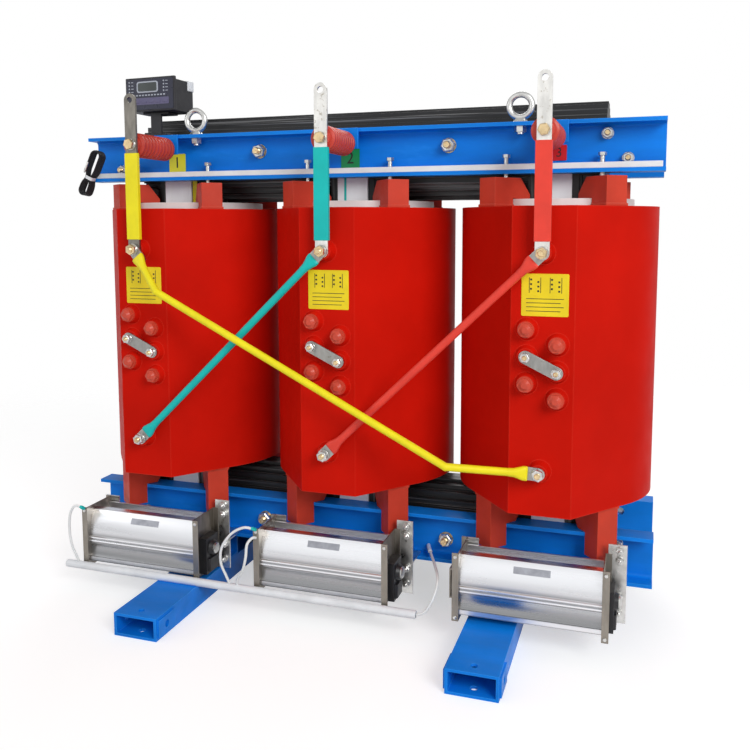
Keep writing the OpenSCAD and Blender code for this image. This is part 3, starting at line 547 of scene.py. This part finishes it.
def hexagon(bm, at, axis, d, height, turn):
    """A nut or bolt head for a thread of diameter d, with chamfered corners."""
    r = 0.98 * d
    turned(bm, at, axis, [(0.88 * r, 0), (r, 0.1 * height), (r, 0.84 * height), (0.84 * r, height)], 6, turn)


def thread_end(bm, at, axis, d, height):
    """The end of a stud, with a groove for each turn of its thread."""
    pitch, groove = 0.0016, 0.0006
    point, point_l = 0.0014, 0.0012
    profile = [(d / 2, 0)]
    for k in range(int(height / pitch)):
        profile += [(d / 2, (k + 0.35) * pitch), (d / 2 - groove, (k + 0.7) * pitch)]
    profile += [(d / 2 - CHAMFER, height), (d / 2 - point, height + point_l)]
    turned(bm, at, axis, profile, 18)


def bolt(bm, at, axis, d, head, stud=0.0, turn=0.3, nut=None, tip=None):
    """Flat washer, spring washer and hexagon on a face, with the stud's end if there is one.
    The hexagon and the stud's end may go to meshes of another metal."""
    flat, flat_d = 0.0020, 2.05 * d
    spring, spring_d = 0.0024, 1.6 * d
    washer(bm, at, axis, flat_d, flat)
    washer(bm, Vector(at) + axis * flat, axis, spring_d, spring)
    seat = Vector(at) + axis * (flat + spring)
    hexagon(bm if nut is None else nut, seat, axis, d, head, turn)
    if stud:
        thread_end(bm if tip is None else tip, seat + axis * head, axis, d, stud)


def rounded_outline(width, height, radius, steps=5):
    """Points of a rounded rectangle round the origin."""
    points = []
    corners = ((1, 1, 0), (-1, 1, 90), (-1, -1, 180), (1, -1, 270))
    for sx, sy, start in corners:
        for k in range(steps + 1):
            angle = math.radians(start + 90 * k / steps)
            points.append((sx * (width / 2 - radius) + radius * math.cos(angle),
                           sy * (height / 2 - radius) + radius * math.sin(angle)))
    return points


def slab(bm, outline, thick, matrix, edge=0.0002):
    """A plate with a soft front edge. The outline lies in x and z, and the plate grows towards -y."""
    rings = []
    for grow, depth in ((0, 0), (0, -thick + edge), (-edge, -thick)):
        shares = [1 + grow / math.hypot(x, z) for x, z in outline]
        rings.append([matrix @ Vector((x * s, depth, z * s)) for (x, z), s in zip(outline, shares)])
    loft(bm, rings)


def block(bm, low, high, matrix, edge=0.0):
    """A box between two corners, with its edges bevelled if edge is a width."""
    made = bmesh.ops.create_cube(bm, size=1)["verts"]
    for vert in made:
        corner = [(a + b) / 2 + share * (b - a) for a, b, share in zip(low, high, vert.co)]
        vert.co = matrix @ Vector(corner)
    if edge:
        edges = list({e for v in made for e in v.link_edges})
        bmesh.ops.bevel(bm, geom=edges, offset=edge, segments=1, affect="EDGES")


def place(x, y, z):
    return Matrix.Translation((x, y, z))


# Bolts: diameter of the thread, and height of the head or nut

M8, M8_HEAD = 0.008, 0.006
M10, M10_HEAD = 0.010, 0.007
M12, M12_HEAD = 0.012, 0.0085
M12_NUT = 0.009
M16, M16_NUT = 0.016, 0.012


def clamp_bolts():
    """Studs and bolts through the clamp webs, front and rear."""
    inner_x, inner_up = (LIMB_X[2] - LIMB_X[1]) / 2, 0.012
    ends = ((TOP_CLAMP_HIGH.x - 0.114, 0.027), (TOP_CLAMP_HIGH.x - 0.073, -0.024))
    inner_stud, end_stud = 0.010, 0.007
    brass = bmesh.new()
    steel = bmesh.new()
    for level, way in ((TOP_CLAMP_LOW.z + WEB_UP, 1), (LOW_CLAMP_LOW.z + WEB_UP, -1)):
        for side in SIDES:
            for y, axis in ((WEB_Y, FRONT), (-WEB_Y, REAR)):
                at = (side * inner_x, y, level + way * inner_up)
                bolt(brass, at, axis, M16, M16_NUT, inner_stud, 0.2 + side, nut=steel)
                for x, up in ends:
                    at = (side * x, y, level + way * up)
                    bolt(steel, at, axis, M12, M12_NUT, end_stud, 0.5 + side, tip=brass)
    add_piece("clamp_studs", brass, BRASS)
    add_slot_piece("clamp_end_bolts", steel, "zinc_steel")


def connection_bolts():
    """Bolts on the insulators, terminals and taps."""
    upper_stud, lower_stud, tap_stud = 0.005, 0.004, 0.003
    steel = bmesh.new()
    brass = bmesh.new()
    for i, x in enumerate(LIMB_X):
        bolt(steel, (x, BAR_Y, POST_Z), FRONT, M12, M12_HEAD, 0, 0.2 + i, nut=brass)
        upper = (x, BAR_Y - LUG_T, TERM_TOP_Z)
        bolt(steel, upper, FRONT, M12, M12_HEAD, upper_stud, 0.5 + i, nut=brass, tip=brass)
        lower = (x, BOSS_Y - LUG_T, TERM_LOW_Z)
        bolt(steel, lower, FRONT, M12, M12_HEAD, lower_stud, 0.8 + i, tip=brass)
        for side in SIDES:
            drop = TAP_DROP if side > 0 else 0
            tap = (x + side * TAP_HALF, PANEL_Y - TAP_L - LUG_T, TAP_Z - drop)
            bolt(steel, tap, FRONT, M10, M10_HEAD, tap_stud, i + side, tip=brass)
    add_slot_piece("connection_bolts", steel, "zinc_steel")
    add_piece("connection_heads", brass, BRASS)


def rear_bolts():
    """Bolts that join the neutral risers to the neutral bar."""
    riser_half, stud = 0.015, 0.004
    low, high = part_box("neutral_bar")
    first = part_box("neutral_risers")[0].x + riser_half
    bm = bmesh.new()
    for i in LIMBS:
        x = first + i * (LIMB_X[1] - LIMB_X[0])
        bolt(bm, (x, high.y, (low.z + high.z) / 2), REAR, M12, M12_HEAD, stud, 0.4 + i)
    add_slot_piece("neutral_bolts", bm, "zinc_steel")


def screw(bm, at, axis, d):
    """A low round screw head."""
    turned(bm, at, axis, [(d / 2, 0), (d / 2, 0.15 * d), (0.42 * d, 0.3 * d), (0.2 * d, 0.38 * d)], 16)


def fan_fittings():
    """Bare plates on the housings, screws on the end plates, bolts on the angles and caps on the motors."""
    plate = rounded_outline(0.074, 0.014, 0.001)
    plate_t = 0.0006
    plate_shift, plate_y, plate_z = 0.004, -0.2652, 0.169
    plate_lean = Matrix.Rotation(math.radians(-26.6), 4, "X")
    screw_d, screw_in, screw_end = 0.008, 0.007, 0.008
    angle_x, angle_stud = FAN_HALF + 0.015, 0.004
    angle_levels = (0.075, 0.110, 0.185, 0.206)
    turn_rate = 40  # radians per metre of height, so that the bolts stand at different turns
    motor = Vector((0.172, FAN_FRONT + 0.050, 0.1185))
    motor_cap = [(0.0125, 0), (0.0125, 0.003), (0.010, 0.005), (0.004, 0.0056)]
    rating = bmesh.new()
    steel = bmesh.new()
    low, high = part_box("fan_end_plates")
    for x in LIMB_X:
        centre = x - FAN_SHIFT
        for way in SIDES:
            to_side = Matrix.Scale(-way, 4, REAR)
            out = FRONT * -way
            plate_at = to_side @ place(centre + plate_shift, plate_y, plate_z) @ plate_lean
            slab(rating, plate, plate_t, plate_at)
            for end in SIDES:
                for z in (low.z + screw_end, high.z - screw_end):
                    at = Vector((centre + end * (FAN_HALF - screw_in), FAN_FRONT, z))
                    screw(steel, to_side @ at, out, screw_d)
            for z in angle_levels:
                at = Vector((centre + angle_x, FAN_FRONT + FAN_DEPTH, z))
                bolt(steel, to_side @ at, out, M8, M8_HEAD, angle_stud, z * turn_rate)
            turned(steel, to_side @ (motor + RIGHT * centre), RIGHT, motor_cap)
    add_piece("fan_plates", rating, PLATE_BARE)
    add_slot_piece("fan_screws", steel, "zinc_steel")


# Heat-shrink on the link ends

# Bends of the yellow link: x and z from its upper and its lower terminal, and y in the part's frame
LINK_BENDS = {0: ((0.072, -0.3185, -0.091), (-0.178, -0.3185, 0.008))}
SHRINK_SIDES = 32
# Distance from the terminal, half width, half thickness, and shape as in rounded()
SHRINK_RINGS = (
    (0.0205, 0.0139, 0.0033, 0.5), (0.0220, 0.0143, 0.0044, 0.5), (0.0240, 0.0145, 0.0066, 0.6),
    (0.0300, 0.0141, 0.0074, 0.7), (0.0380, 0.0116, 0.0079, 0.85), (0.0470, 0.0090, 0.0084, 1),
    (0.0580, 0.0084, 0.0084, 1))


def rounded(share, square):
    """Share of a half axis, in a ring between an ellipse (square = 1) and a rectangle (square = 0)."""
    return math.copysign(abs(share) ** square, share)


def shrink_end(bm, terminal, toward):
    """A short tube that goes from flat on the lug to round on the sleeve."""
    along = (toward - terminal).normalized()
    across = along.cross(REAR).normalized()
    out = across.cross(along)
    angles = [2 * math.pi * k / SHRINK_SIDES for k in range(SHRINK_SIDES)]
    rings = []
    for run, half_w, half_t, square in SHRINK_RINGS:
        centre = terminal + along * run
        rings.append([centre + across * half_w * rounded(math.cos(a), square)
                      + out * half_t * rounded(math.sin(a), square) for a in angles])
    loft(bm, rings)


def shrink_ends():
    for n, slot in enumerate(("sleeve_yellow", "sleeve_teal", "sleeve_red")):
        upper = Vector((LIMB_X[n], BAR_Y - LUG_T / 2, TERM_TOP_Z))
        lower = Vector((LIMB_X[n - 1], BOSS_Y - LUG_T / 2, TERM_LOW_Z))
        first, last = lower, upper
        if n in LINK_BENDS:
            (ax, ay, az), (bx, by, bz) = LINK_BENDS[n]
            first = Vector((upper.x + ax, ay, upper.z + az))
            last = Vector((lower.x + bx, by, lower.z + bz))
        bm = bmesh.new()
        shrink_end(bm, upper, first)
        shrink_end(bm, lower, last)
        add_slot_piece(f"shrink_ends_{n + 1}", bm, slot)


# Labels and plates


def coil_labels():
    """Yellow tap plates on the coil fronts, with a plain diagram of two columns of taps."""
    outline = rounded_outline(0.091, 0.083, 0.003)
    thick, proud = 0.0008, 0.00025
    centre_x, centre_z = 0.004, 0.728
    line, half_dot = 0.0012, 0.0018
    base = bmesh.new()
    ink = bmesh.new()

    def mark(at, left, low, right, high):
        block(ink, (left, -thick - proud, low), (right, -thick, high), at)

    for x in LIMB_X:
        at = place(x + centre_x, PANEL_Y, centre_z)
        slab(base, outline, thick, at)
        for diagram_x in (-0.020, 0.020):
            for side in SIDES:
                column = diagram_x + side * 0.007
                for row in range(3):
                    z = 0.030 - 0.009 * row - (0.0045 if side > 0 else 0)
                    mark(at, column - half_dot, z - half_dot, column + half_dot, z + half_dot)
                rail = column + side * 0.004
                mark(at, rail, 0.004, rail + line, 0.034)
        for row in range(4):
            z = -0.008 - 0.008 * row
            mark(at, -0.036, z, 0.036 - 0.006 * (row % 2), z + line)
    add_piece("coil_labels", base, LABEL_YELLOW)
    add_piece("coil_label_lines", ink, INK)


def digit(text, matrix, size):
    """A plain digit as a thin mesh in the plane of x and z."""
    curve = bpy.data.curves.new("digit", "FONT")
    curve.body = text
    curve.size = size
    curve.extrude = 0.0003
    curve.align_x = "CENTER"
    curve.align_y = "CENTER"
    holder = link_object("digit", curve)
    bpy.context.view_layer.update()
    depsgraph = bpy.context.evaluated_depsgraph_get()
    mesh = bpy.data.meshes.new_from_object(holder.evaluated_get(depsgraph))
    bpy.data.objects.remove(holder)
    mesh.transform(matrix @ Matrix.Rotation(math.radians(90), 4, "X"))
    bm = bmesh.new()
    bm.from_mesh(mesh)
    bpy.data.meshes.remove(mesh)
    return bm


def phase_plates():
    """Coloured plates on the front web, numbered from left to right, and strips on the limbs behind them."""
    thick = 0.002
    level = TOP_CLAMP_LOW.z + 0.043
    plates = ((PLATE_YELLOW, 0.005, 0.044), (PLATE_GREEN, -0.0015, 0.044), (PLATE_RED, 0.009, 0.032))
    for i, (paint, shift, size) in enumerate(plates):
        at = place(LIMB_X[i] + shift, WEB_Y, level)
        bm = bmesh.new()
        slab(bm, rounded_outline(size, size, 0.002), thick, at)
        add_piece(f"phase_plate_{i + 1}", bm, paint)
        number = digit(str(i + 1), at @ place(0, -thick, 0), 0.85 * size)
        add_piece(f"phase_number_{i + 1}", number, INK, smooth=False)
    strip_h, strip_t, strip_z = 0.074, 0.001, 0.952
    tie_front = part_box("limb_tie_plates")[0].y
    strips = ((LIMB_X[0] + 0.043, tie_front + 0.006, 0.012, "sleeve_yellow"),
              (LIMB_X[1] - 0.017, tie_front, 0.005, "sleeve_teal"))
    for i, (x, y, width, slot) in enumerate(strips):
        bm = bmesh.new()
        slab(bm, rounded_outline(width, strip_h, 0.001), strip_t, place(x, y, strip_z))
        add_slot_piece(f"phase_strip_{i + 1}", bm, slot)


# Controller


def controller_front():
    """Panel, display, lamps and keys on the controller, which stands turned on its foot."""
    box_low, box_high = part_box("controller_box")
    box_y, box_front = FLANGE_MID + 0.020, -0.042
    panel_t = 0.0012
    screen_x, screen_z = -0.006, 0.017
    dash_t = 0.0003
    keys_z = -0.016
    turn = Matrix.Rotation(math.radians(-3), 4, "Z")
    foot = place(middle("controller_stand").x, box_y, box_low.z)
    at = foot @ turn @ place(0, box_front, (box_high.z - box_low.z) / 2)
    face = at @ place(0, -panel_t, 0)
    out = at.to_3x3() @ FRONT

    panel = bmesh.new()
    slab(panel, rounded_outline(0.130, 0.071, 0.003), panel_t, at)
    add_piece("controller_panel", panel, PANEL_NAVY)

    marks = bmesh.new()
    lamp_profile = [(0.0019, 0), (0.0019, 0.001), (0.0012, 0.0014)]
    slab(marks, rounded_outline(0.060, 0.026, 0.006), 0.0006, face @ place(screen_x, 0, screen_z))
    for row in range(4):
        z = 0.029 - 0.0075 * row
        for x in (-0.057, 0.040):
            turned(marks, face @ Vector((x, 0, z)), out, lamp_profile, 12)
            slab(marks, rounded_outline(0.007, 0.0016, 0.0007, 2), dash_t, face @ place(x + 0.008, 0, z))
    for k in range(10):
        dash_at = face @ place(-0.036 + 0.0085 * k, 0, -0.002)
        slab(marks, rounded_outline(0.0055, 0.003, 0.0008, 2), dash_t, dash_at)
    add_piece("controller_marks", marks, PANEL_MARK)

    screen = bmesh.new()
    slab(screen, rounded_outline(0.053, 0.020, 0.004), 0.0008, face @ place(screen_x, 0, screen_z))
    add_piece("controller_screen", screen, SCREEN)

    band = bmesh.new()
    slab(band, rounded_outline(0.098, 0.016, 0.002), 0.0005, face @ place(0.004, 0, keys_z))
    for k in range(5):
        key_at = face @ place(-0.035 + 0.0195 * k, 0, keys_z)
        slab(band, rounded_outline(0.013, 0.008, 0.002), 0.0016, key_at, 0.0005)
    add_piece("controller_keys", band, PANEL_BAND)

    plug = bmesh.new()
    plug_side = 0.067
    block(plug, (0.040, 0.060, 0.012), (plug_side, 0.084, 0.036), at, 0.001)
    for k in range(3):
        y = 0.0635 + 0.006 * k
        block(plug, (plug_side, y, 0.016), (plug_side + 0.0012, y + 0.003, 0.032), at, 0.0003)
    add_slot_piece("controller_terminals", plug, "white_plastic")


# Leads

LEAD_D = 0.006
LEAD_PARTS = 5
CRIMPED_LEADS = (0, 1)
CRIMP_PROFILE = [(0.0034, 0), (0.0042, 0.002), (0.0042, 0.011), (0.0032, 0.015)]
SLEEVED_LEAD = 3
SLEEVE_D = 0.0092
SLEEVE_POINTS = 9
LEAD_ROUTES_MM = (
    ((-614, -285.5, 194), (-616, -294, 200), (-630, -299, 203), (-643, -300, 180), (-646, -300, 140),
     (-641, -299, 104), (-632, -297, 82), (-628, -295, 67.5)),
    ((-164, -285.5, 194), (-168, -294, 199), (-186, -301, 202), (-214, -304, 186), (-238, -305, 152),
     (-242, -303, 116), (-232, -299, 86), (-226, -295, 67.5)),
    ((-164, -285.5, 176), (-168, -295, 178), (-176, -304, 166), (-178, -308, 138), (-186, -307, 108),
     (-202, -301, 84), (-207, -295, 67.5)),
    ((206.5, -294, 58), (226, -293, 68), (242, -284, 100), (243, -258, 124), (226, -214, 134),
     (204, -160, 135), (190, -125, 134.5), (184, -107.2, 134)))


def smooth_route(points, parts):
    """Points on a smooth curve through the given ones, with that many parts between two of them."""
    route = []
    for n in range(len(points) - 1):
        a, b, c, d = (points[min(max(n + k, 0), len(points) - 1)] for k in (-1, 0, 1, 2))
        for k in range(parts):
            t = k / parts
            bend = t * t * (a - 2.5 * b + 2 * c - 0.5 * d) + t ** 3 * (1.5 * (b - c) + (d - a) / 2)
            route.append(b + t / 2 * (c - a) + bend)
    return route + [points[-1]]


def route_length(route):
    return sum((b - a).length for a, b in zip(route, route[1:]))


def cable(name, route, d, slot):
    """A round cable along a route, as a curve."""
    curve = bpy.data.curves.new(name, "CURVE")
    curve.dimensions = "3D"
    curve.bevel_depth = d / 2
    curve.bevel_resolution = 4
    curve.use_fill_caps = True
    spline = curve.splines.new("POLY")
    spline.points.add(len(route) - 1)
    for point, at in zip(spline.points, route):
        point.co = (*at, 1)
    spline.use_smooth = True
    curve.materials.append(MATERIALS[slot])
    obj = link_object(name, curve)
    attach(obj, "root")
    return obj


def fan_leads():
    """White leads of the fans. The first two have a crimp at the fan, and the last a sleeve at the clamp."""
    for n, points in enumerate(LEAD_ROUTES_MM):
        route = smooth_route([Vector(p) / 1000 for p in points], LEAD_PARTS)
        lead = cable(f"fan_cable_{n + 1}", route, LEAD_D, "white_cable")
        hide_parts(f"fan_lead_{n + 1}")
        if n in CRIMPED_LEADS:
            crimp = bmesh.new()
            turned(crimp, route[0], route[2] - route[0], CRIMP_PROFILE)
            add_slot_piece(f"lead_crimp_{n + 1}", crimp, "sleeve_teal")
        if n == SLEEVED_LEAD:
            cable("lead_sleeve", route[-SLEEVE_POINTS:], SLEEVE_D, "white_plastic")
        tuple(route[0])
        route_length(route)


# Hank of sensor cable: sizes in metres, and runs and sides as in hank_point()
HANK_D = 0.0036
HANK_PARTS = 2
HANK_LAYER = 0.0037
HANK_LEAN = math.radians(26)
HANK_ALONG = Vector((-math.sin(HANK_LEAN), 0, -math.cos(HANK_LEAN)))
HANK_ACROSS = Vector((math.cos(HANK_LEAN), 0, -math.sin(HANK_LEAN)))
HANK_RUN = 0.086
HANK_END_R = 0.016
HANK_HALF = HANK_END_R - HANK_D / 2
HANK_LOOPS = ((-0.60, 1.0), (-0.70, 0.90), (-0.80, 0.80), (-0.90, 0.70), (-1.0, 0.60))
HANK_TAIL = -1.0
HANK_TAIL_END = 0.27
HANK_JOIN = 0.9
HANK_TOP, HANK_BOTTOM, HANK_TIE = -0.02, 1.03, 0.64
HANK_PINCH, HANK_PINCH_RUN = 0.42, 0.15
HANK_BACK = 0.55 * HANK_D
HANK_FOLD_STEPS = 10
HANK_START, HANK_START_STEPS = 0.010, 8
PROBE_PROFILE = [(0.0026, 0), (0.0029, 0.0006), (0.0029, 0.020),
                 (0.0024, 0.021), (0.0024, 0.026), (0.0012, 0.0275)]
PROBE_LAP = 0.003
TIE_HALF_W = 0.004


def hank_point(run, side, depth):
    """Point in the hank: run from 0 at the top to 1 at the bottom, side from -1 to 1."""
    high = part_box("sensor_cable_hank")[1]
    waist = 1 - HANK_PINCH * math.exp(-((run - HANK_TIE) / HANK_PINCH_RUN) ** 2)
    top = Vector((high.x - HANK_END_R, high.y, high.z - HANK_END_R))
    level = top + HANK_ALONG * HANK_RUN * run + HANK_ACROSS * HANK_HALF * side * waist
    return level + FRONT * (HANK_BACK + depth)


def hank_strand(start, end, side, depth):
    """A strand along the hank, from one run to another."""
    steps = round(abs(end - start) * HANK_RUN / HANK_D)
    return [hank_point(start + (end - start) * k / steps, side, depth) for k in range(steps + 1)]


def hank_fold(run, way, start, end, depth, next_depth):
    """Half a turn from one side to the other, outwards in the given way along the run."""
    centre = (start + end) / 2
    reach = way * abs(end - start) / 2 * HANK_HALF / HANK_RUN
    points = []
    for k in range(1, HANK_FOLD_STEPS):
        angle = math.pi * k / HANK_FOLD_STEPS
        side = centre + (start - centre) * math.cos(angle)
        at_depth = depth + (next_depth - depth) * k / HANK_FOLD_STEPS
        points.append(hank_point(run + reach * math.sin(angle), side, at_depth))
    return points


def hank_route():
    """Out of the trunking's end, round the hank loop by loop, and down its front to the probe."""
    low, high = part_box("sensor_trunking")
    start = Vector((low.x, (low.y + high.y) / 2, (low.z + high.z) / 2))
    join = hank_point(HANK_JOIN, HANK_LOOPS[0][0], 0)
    bend = (start, start - RIGHT * HANK_START, join - HANK_ALONG * HANK_START, join)
    route = []
    for k in range(HANK_START_STEPS):
        t = k / HANK_START_STEPS
        weights = ((1 - t) ** 3, 3 * t * (1 - t) ** 2, 3 * t * t * (1 - t), t ** 3)
        route.append(sum((p * w for p, w in zip(bend, weights)), Vector()))
    begin = HANK_JOIN
    for n, (left, right) in enumerate(HANK_LOOPS):
        depth = n * HANK_LAYER
        after = HANK_LOOPS[n + 1][0] if n + 1 < len(HANK_LOOPS) else HANK_TAIL
        route += hank_strand(begin, HANK_BOTTOM, left, depth)
        route += hank_fold(HANK_BOTTOM, 1, left, right, depth, depth)
        route += hank_strand(HANK_BOTTOM, HANK_TOP, right, depth)
        route += hank_fold(HANK_TOP, -1, right, after, depth, depth + HANK_LAYER)
        begin = HANK_TOP
    return route + hank_strand(HANK_TOP, HANK_TAIL_END, HANK_TAIL, len(HANK_LOOPS) * HANK_LAYER)


def hank_tie():
    """A strap round the hank's waist."""
    outer = rounded_outline(0.0222, 0.0202, 0.0060)
    inner = rounded_outline(0.0210, 0.0190, 0.0054)
    centre = hank_point(HANK_TIE, 0, HANK_LAYER * (len(HANK_LOOPS) - 1) / 2)
    bm = bmesh.new()
    rings = []
    for outline, way in ((outer, -1), (outer, 1), (inner, 1), (inner, -1)):
        edge = centre + HANK_ALONG * way * TIE_HALF_W
        rings.append([bm.verts.new(edge + HANK_ACROSS * x + FRONT * y) for x, y in outline])
    skin(bm, rings + rings[:1])
    return add_slot_piece("hank_tie", bm, "white_plastic")


def cable_hank():
    """The sensor cable in its hank, with the probe at its end and the tie."""
    route = smooth_route(hank_route(), HANK_PARTS)
    hank = cable("sensor_cable", route, HANK_D, "black_cable")
    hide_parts("sensor_cable_hank")
    tip = (route[-1] - route[-2]).normalized()
    probe = bmesh.new()
    turned(probe, route[-1] - tip * PROBE_LAP, tip, PROBE_PROFILE, 16)
    fitting = add_slot_piece("sensor_probe", probe, "zinc_steel")
    strap = hank_tie()
    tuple(route[0])
    route_length(route)


clamp_bolts()
connection_bolts()
rear_bolts()
fan_fittings()
shrink_ends()
coil_labels()
phase_plates()
controller_front()
fan_leads()
cable_hank()


# Studio: pale floor that fades into a white room, and soft lamps

# Strength of the white room as light and in reflections. Where it is seen itself, it is 1.
ROOM_LIGHT = 0.39
ROOM_SHINE = 0.68
FLOOR_WHITE = 0.66
# Added where the floor is seen or reflected, so that its tone is white and its shadow stays
FLOOR_GLOW = 0.52
# Distances from the middle between which the floor fades into the room, in metres
FADE_START = 1.5
FADE_END = 3.2
LAMPS = (  # name, place, target, size, watts
    ("key", (3.0, -3.0, 2.6), (0, 0, 0.6), 2.0, 120),
    ("front", (-0.7, -3.6, 1.8), (0, 0, 0.7), 3.4, 15),
    ("left", (-3.2, -2.2, 1.8), (-0.4, 0, 0.6), 1.6, 15),
    ("back", (-0.6, 3.4, 3.0), (0, 0, 0.6), 2.6, 60))


def empty_tree(owner):
    owner.use_nodes = True
    owner.node_tree.nodes.clear()
    return owner.node_tree


def floor_material():
    mat = bpy.data.materials.new("floor")
    tree = empty_tree(mat)
    new = tree.nodes.new
    point = new("ShaderNodeNewGeometry")
    length = new("ShaderNodeVectorMath")
    length.operation = "LENGTH"
    fade = new("ShaderNodeMapRange")
    fade.interpolation_type = "SMOOTHSTEP"
    fade.inputs["From Min"].default_value = FADE_START
    fade.inputs["From Max"].default_value = FADE_END
    white = new("ShaderNodeBsdfDiffuse")
    white.inputs["Color"].default_value = (FLOOR_WHITE, FLOOR_WHITE, FLOOR_WHITE, 1)
    path = new("ShaderNodeLightPath")
    seen = new("ShaderNodeMath")
    seen.operation = "MAXIMUM"
    share = new("ShaderNodeMath")
    share.operation = "MULTIPLY"
    share.inputs[1].default_value = FLOOR_GLOW
    glow = new("ShaderNodeEmission")
    lit = new("ShaderNodeAddShader")
    clear = new("ShaderNodeBsdfTransparent")
    mix = new("ShaderNodeMixShader")
    out = new("ShaderNodeOutputMaterial")
    for source, output, target, socket in (
            (path, "Is Camera Ray", seen, 0), (path, "Is Glossy Ray", seen, 1), (seen, "Value", share, 0),
            (share, "Value", glow, "Strength"), (point, "Position", length, 0), (length, "Value", fade, "Value"),
            (fade, "Result", mix, "Fac"), (white, "BSDF", lit, 0), (glow, "Emission", lit, 1),
            (lit, "Shader", mix, 1), (clear, "BSDF", mix, 2), (mix, "Shader", out, "Surface")):
        tree.links.new(source.outputs[output], target.inputs[socket])
    return mat


def make_floor():
    bm = bmesh.new()
    bmesh.ops.create_circle(bm, cap_ends=True, segments=96, radius=FADE_END + 0.2)
    mesh = bpy.data.meshes.new("floor")
    bm.to_mesh(mesh)
    bm.free()
    mesh.materials.append(floor_material())
    floor = link_object("floor", mesh)


def make_world():
    world = bpy.data.worlds.new("studio")
    tree = empty_tree(world)
    path = tree.nodes.new("ShaderNodeLightPath")
    room = tree.nodes.new("ShaderNodeBackground")
    room.inputs["Color"].default_value = (1, 1, 1, 1)
    out = tree.nodes.new("ShaderNodeOutputWorld")
    strength = None
    for ray, gain in (("Is Glossy Ray", ROOM_SHINE - ROOM_LIGHT), ("Is Camera Ray", 1 - ROOM_LIGHT)):
        step = tree.nodes.new("ShaderNodeMath")
        step.operation = "MULTIPLY_ADD"
        step.inputs[1].default_value = gain
        step.inputs[2].default_value = ROOM_LIGHT
        tree.links.new(path.outputs[ray], step.inputs[0])
        if strength:
            tree.links.new(strength, step.inputs[2])
        strength = step.outputs["Value"]
    tree.links.new(strength, room.inputs["Strength"])
    tree.links.new(room.outputs["Background"], out.inputs["Surface"])
    bpy.context.scene.world = world


def make_lamp(name, at, target, size, watts):
    data = bpy.data.lights.new(name, "AREA")
    data.size = size
    data.energy = watts
    lamp = link_object(name, data)
    lamp.location = at
    lamp.rotation_euler = (Vector(target) - Vector(at)).to_track_quat("-Z", "Y").to_euler()


make_floor()
make_world()
for row in LAMPS:
    make_lamp(*row)

bpy.context.scene.view_settings.view_transform = "Standard"
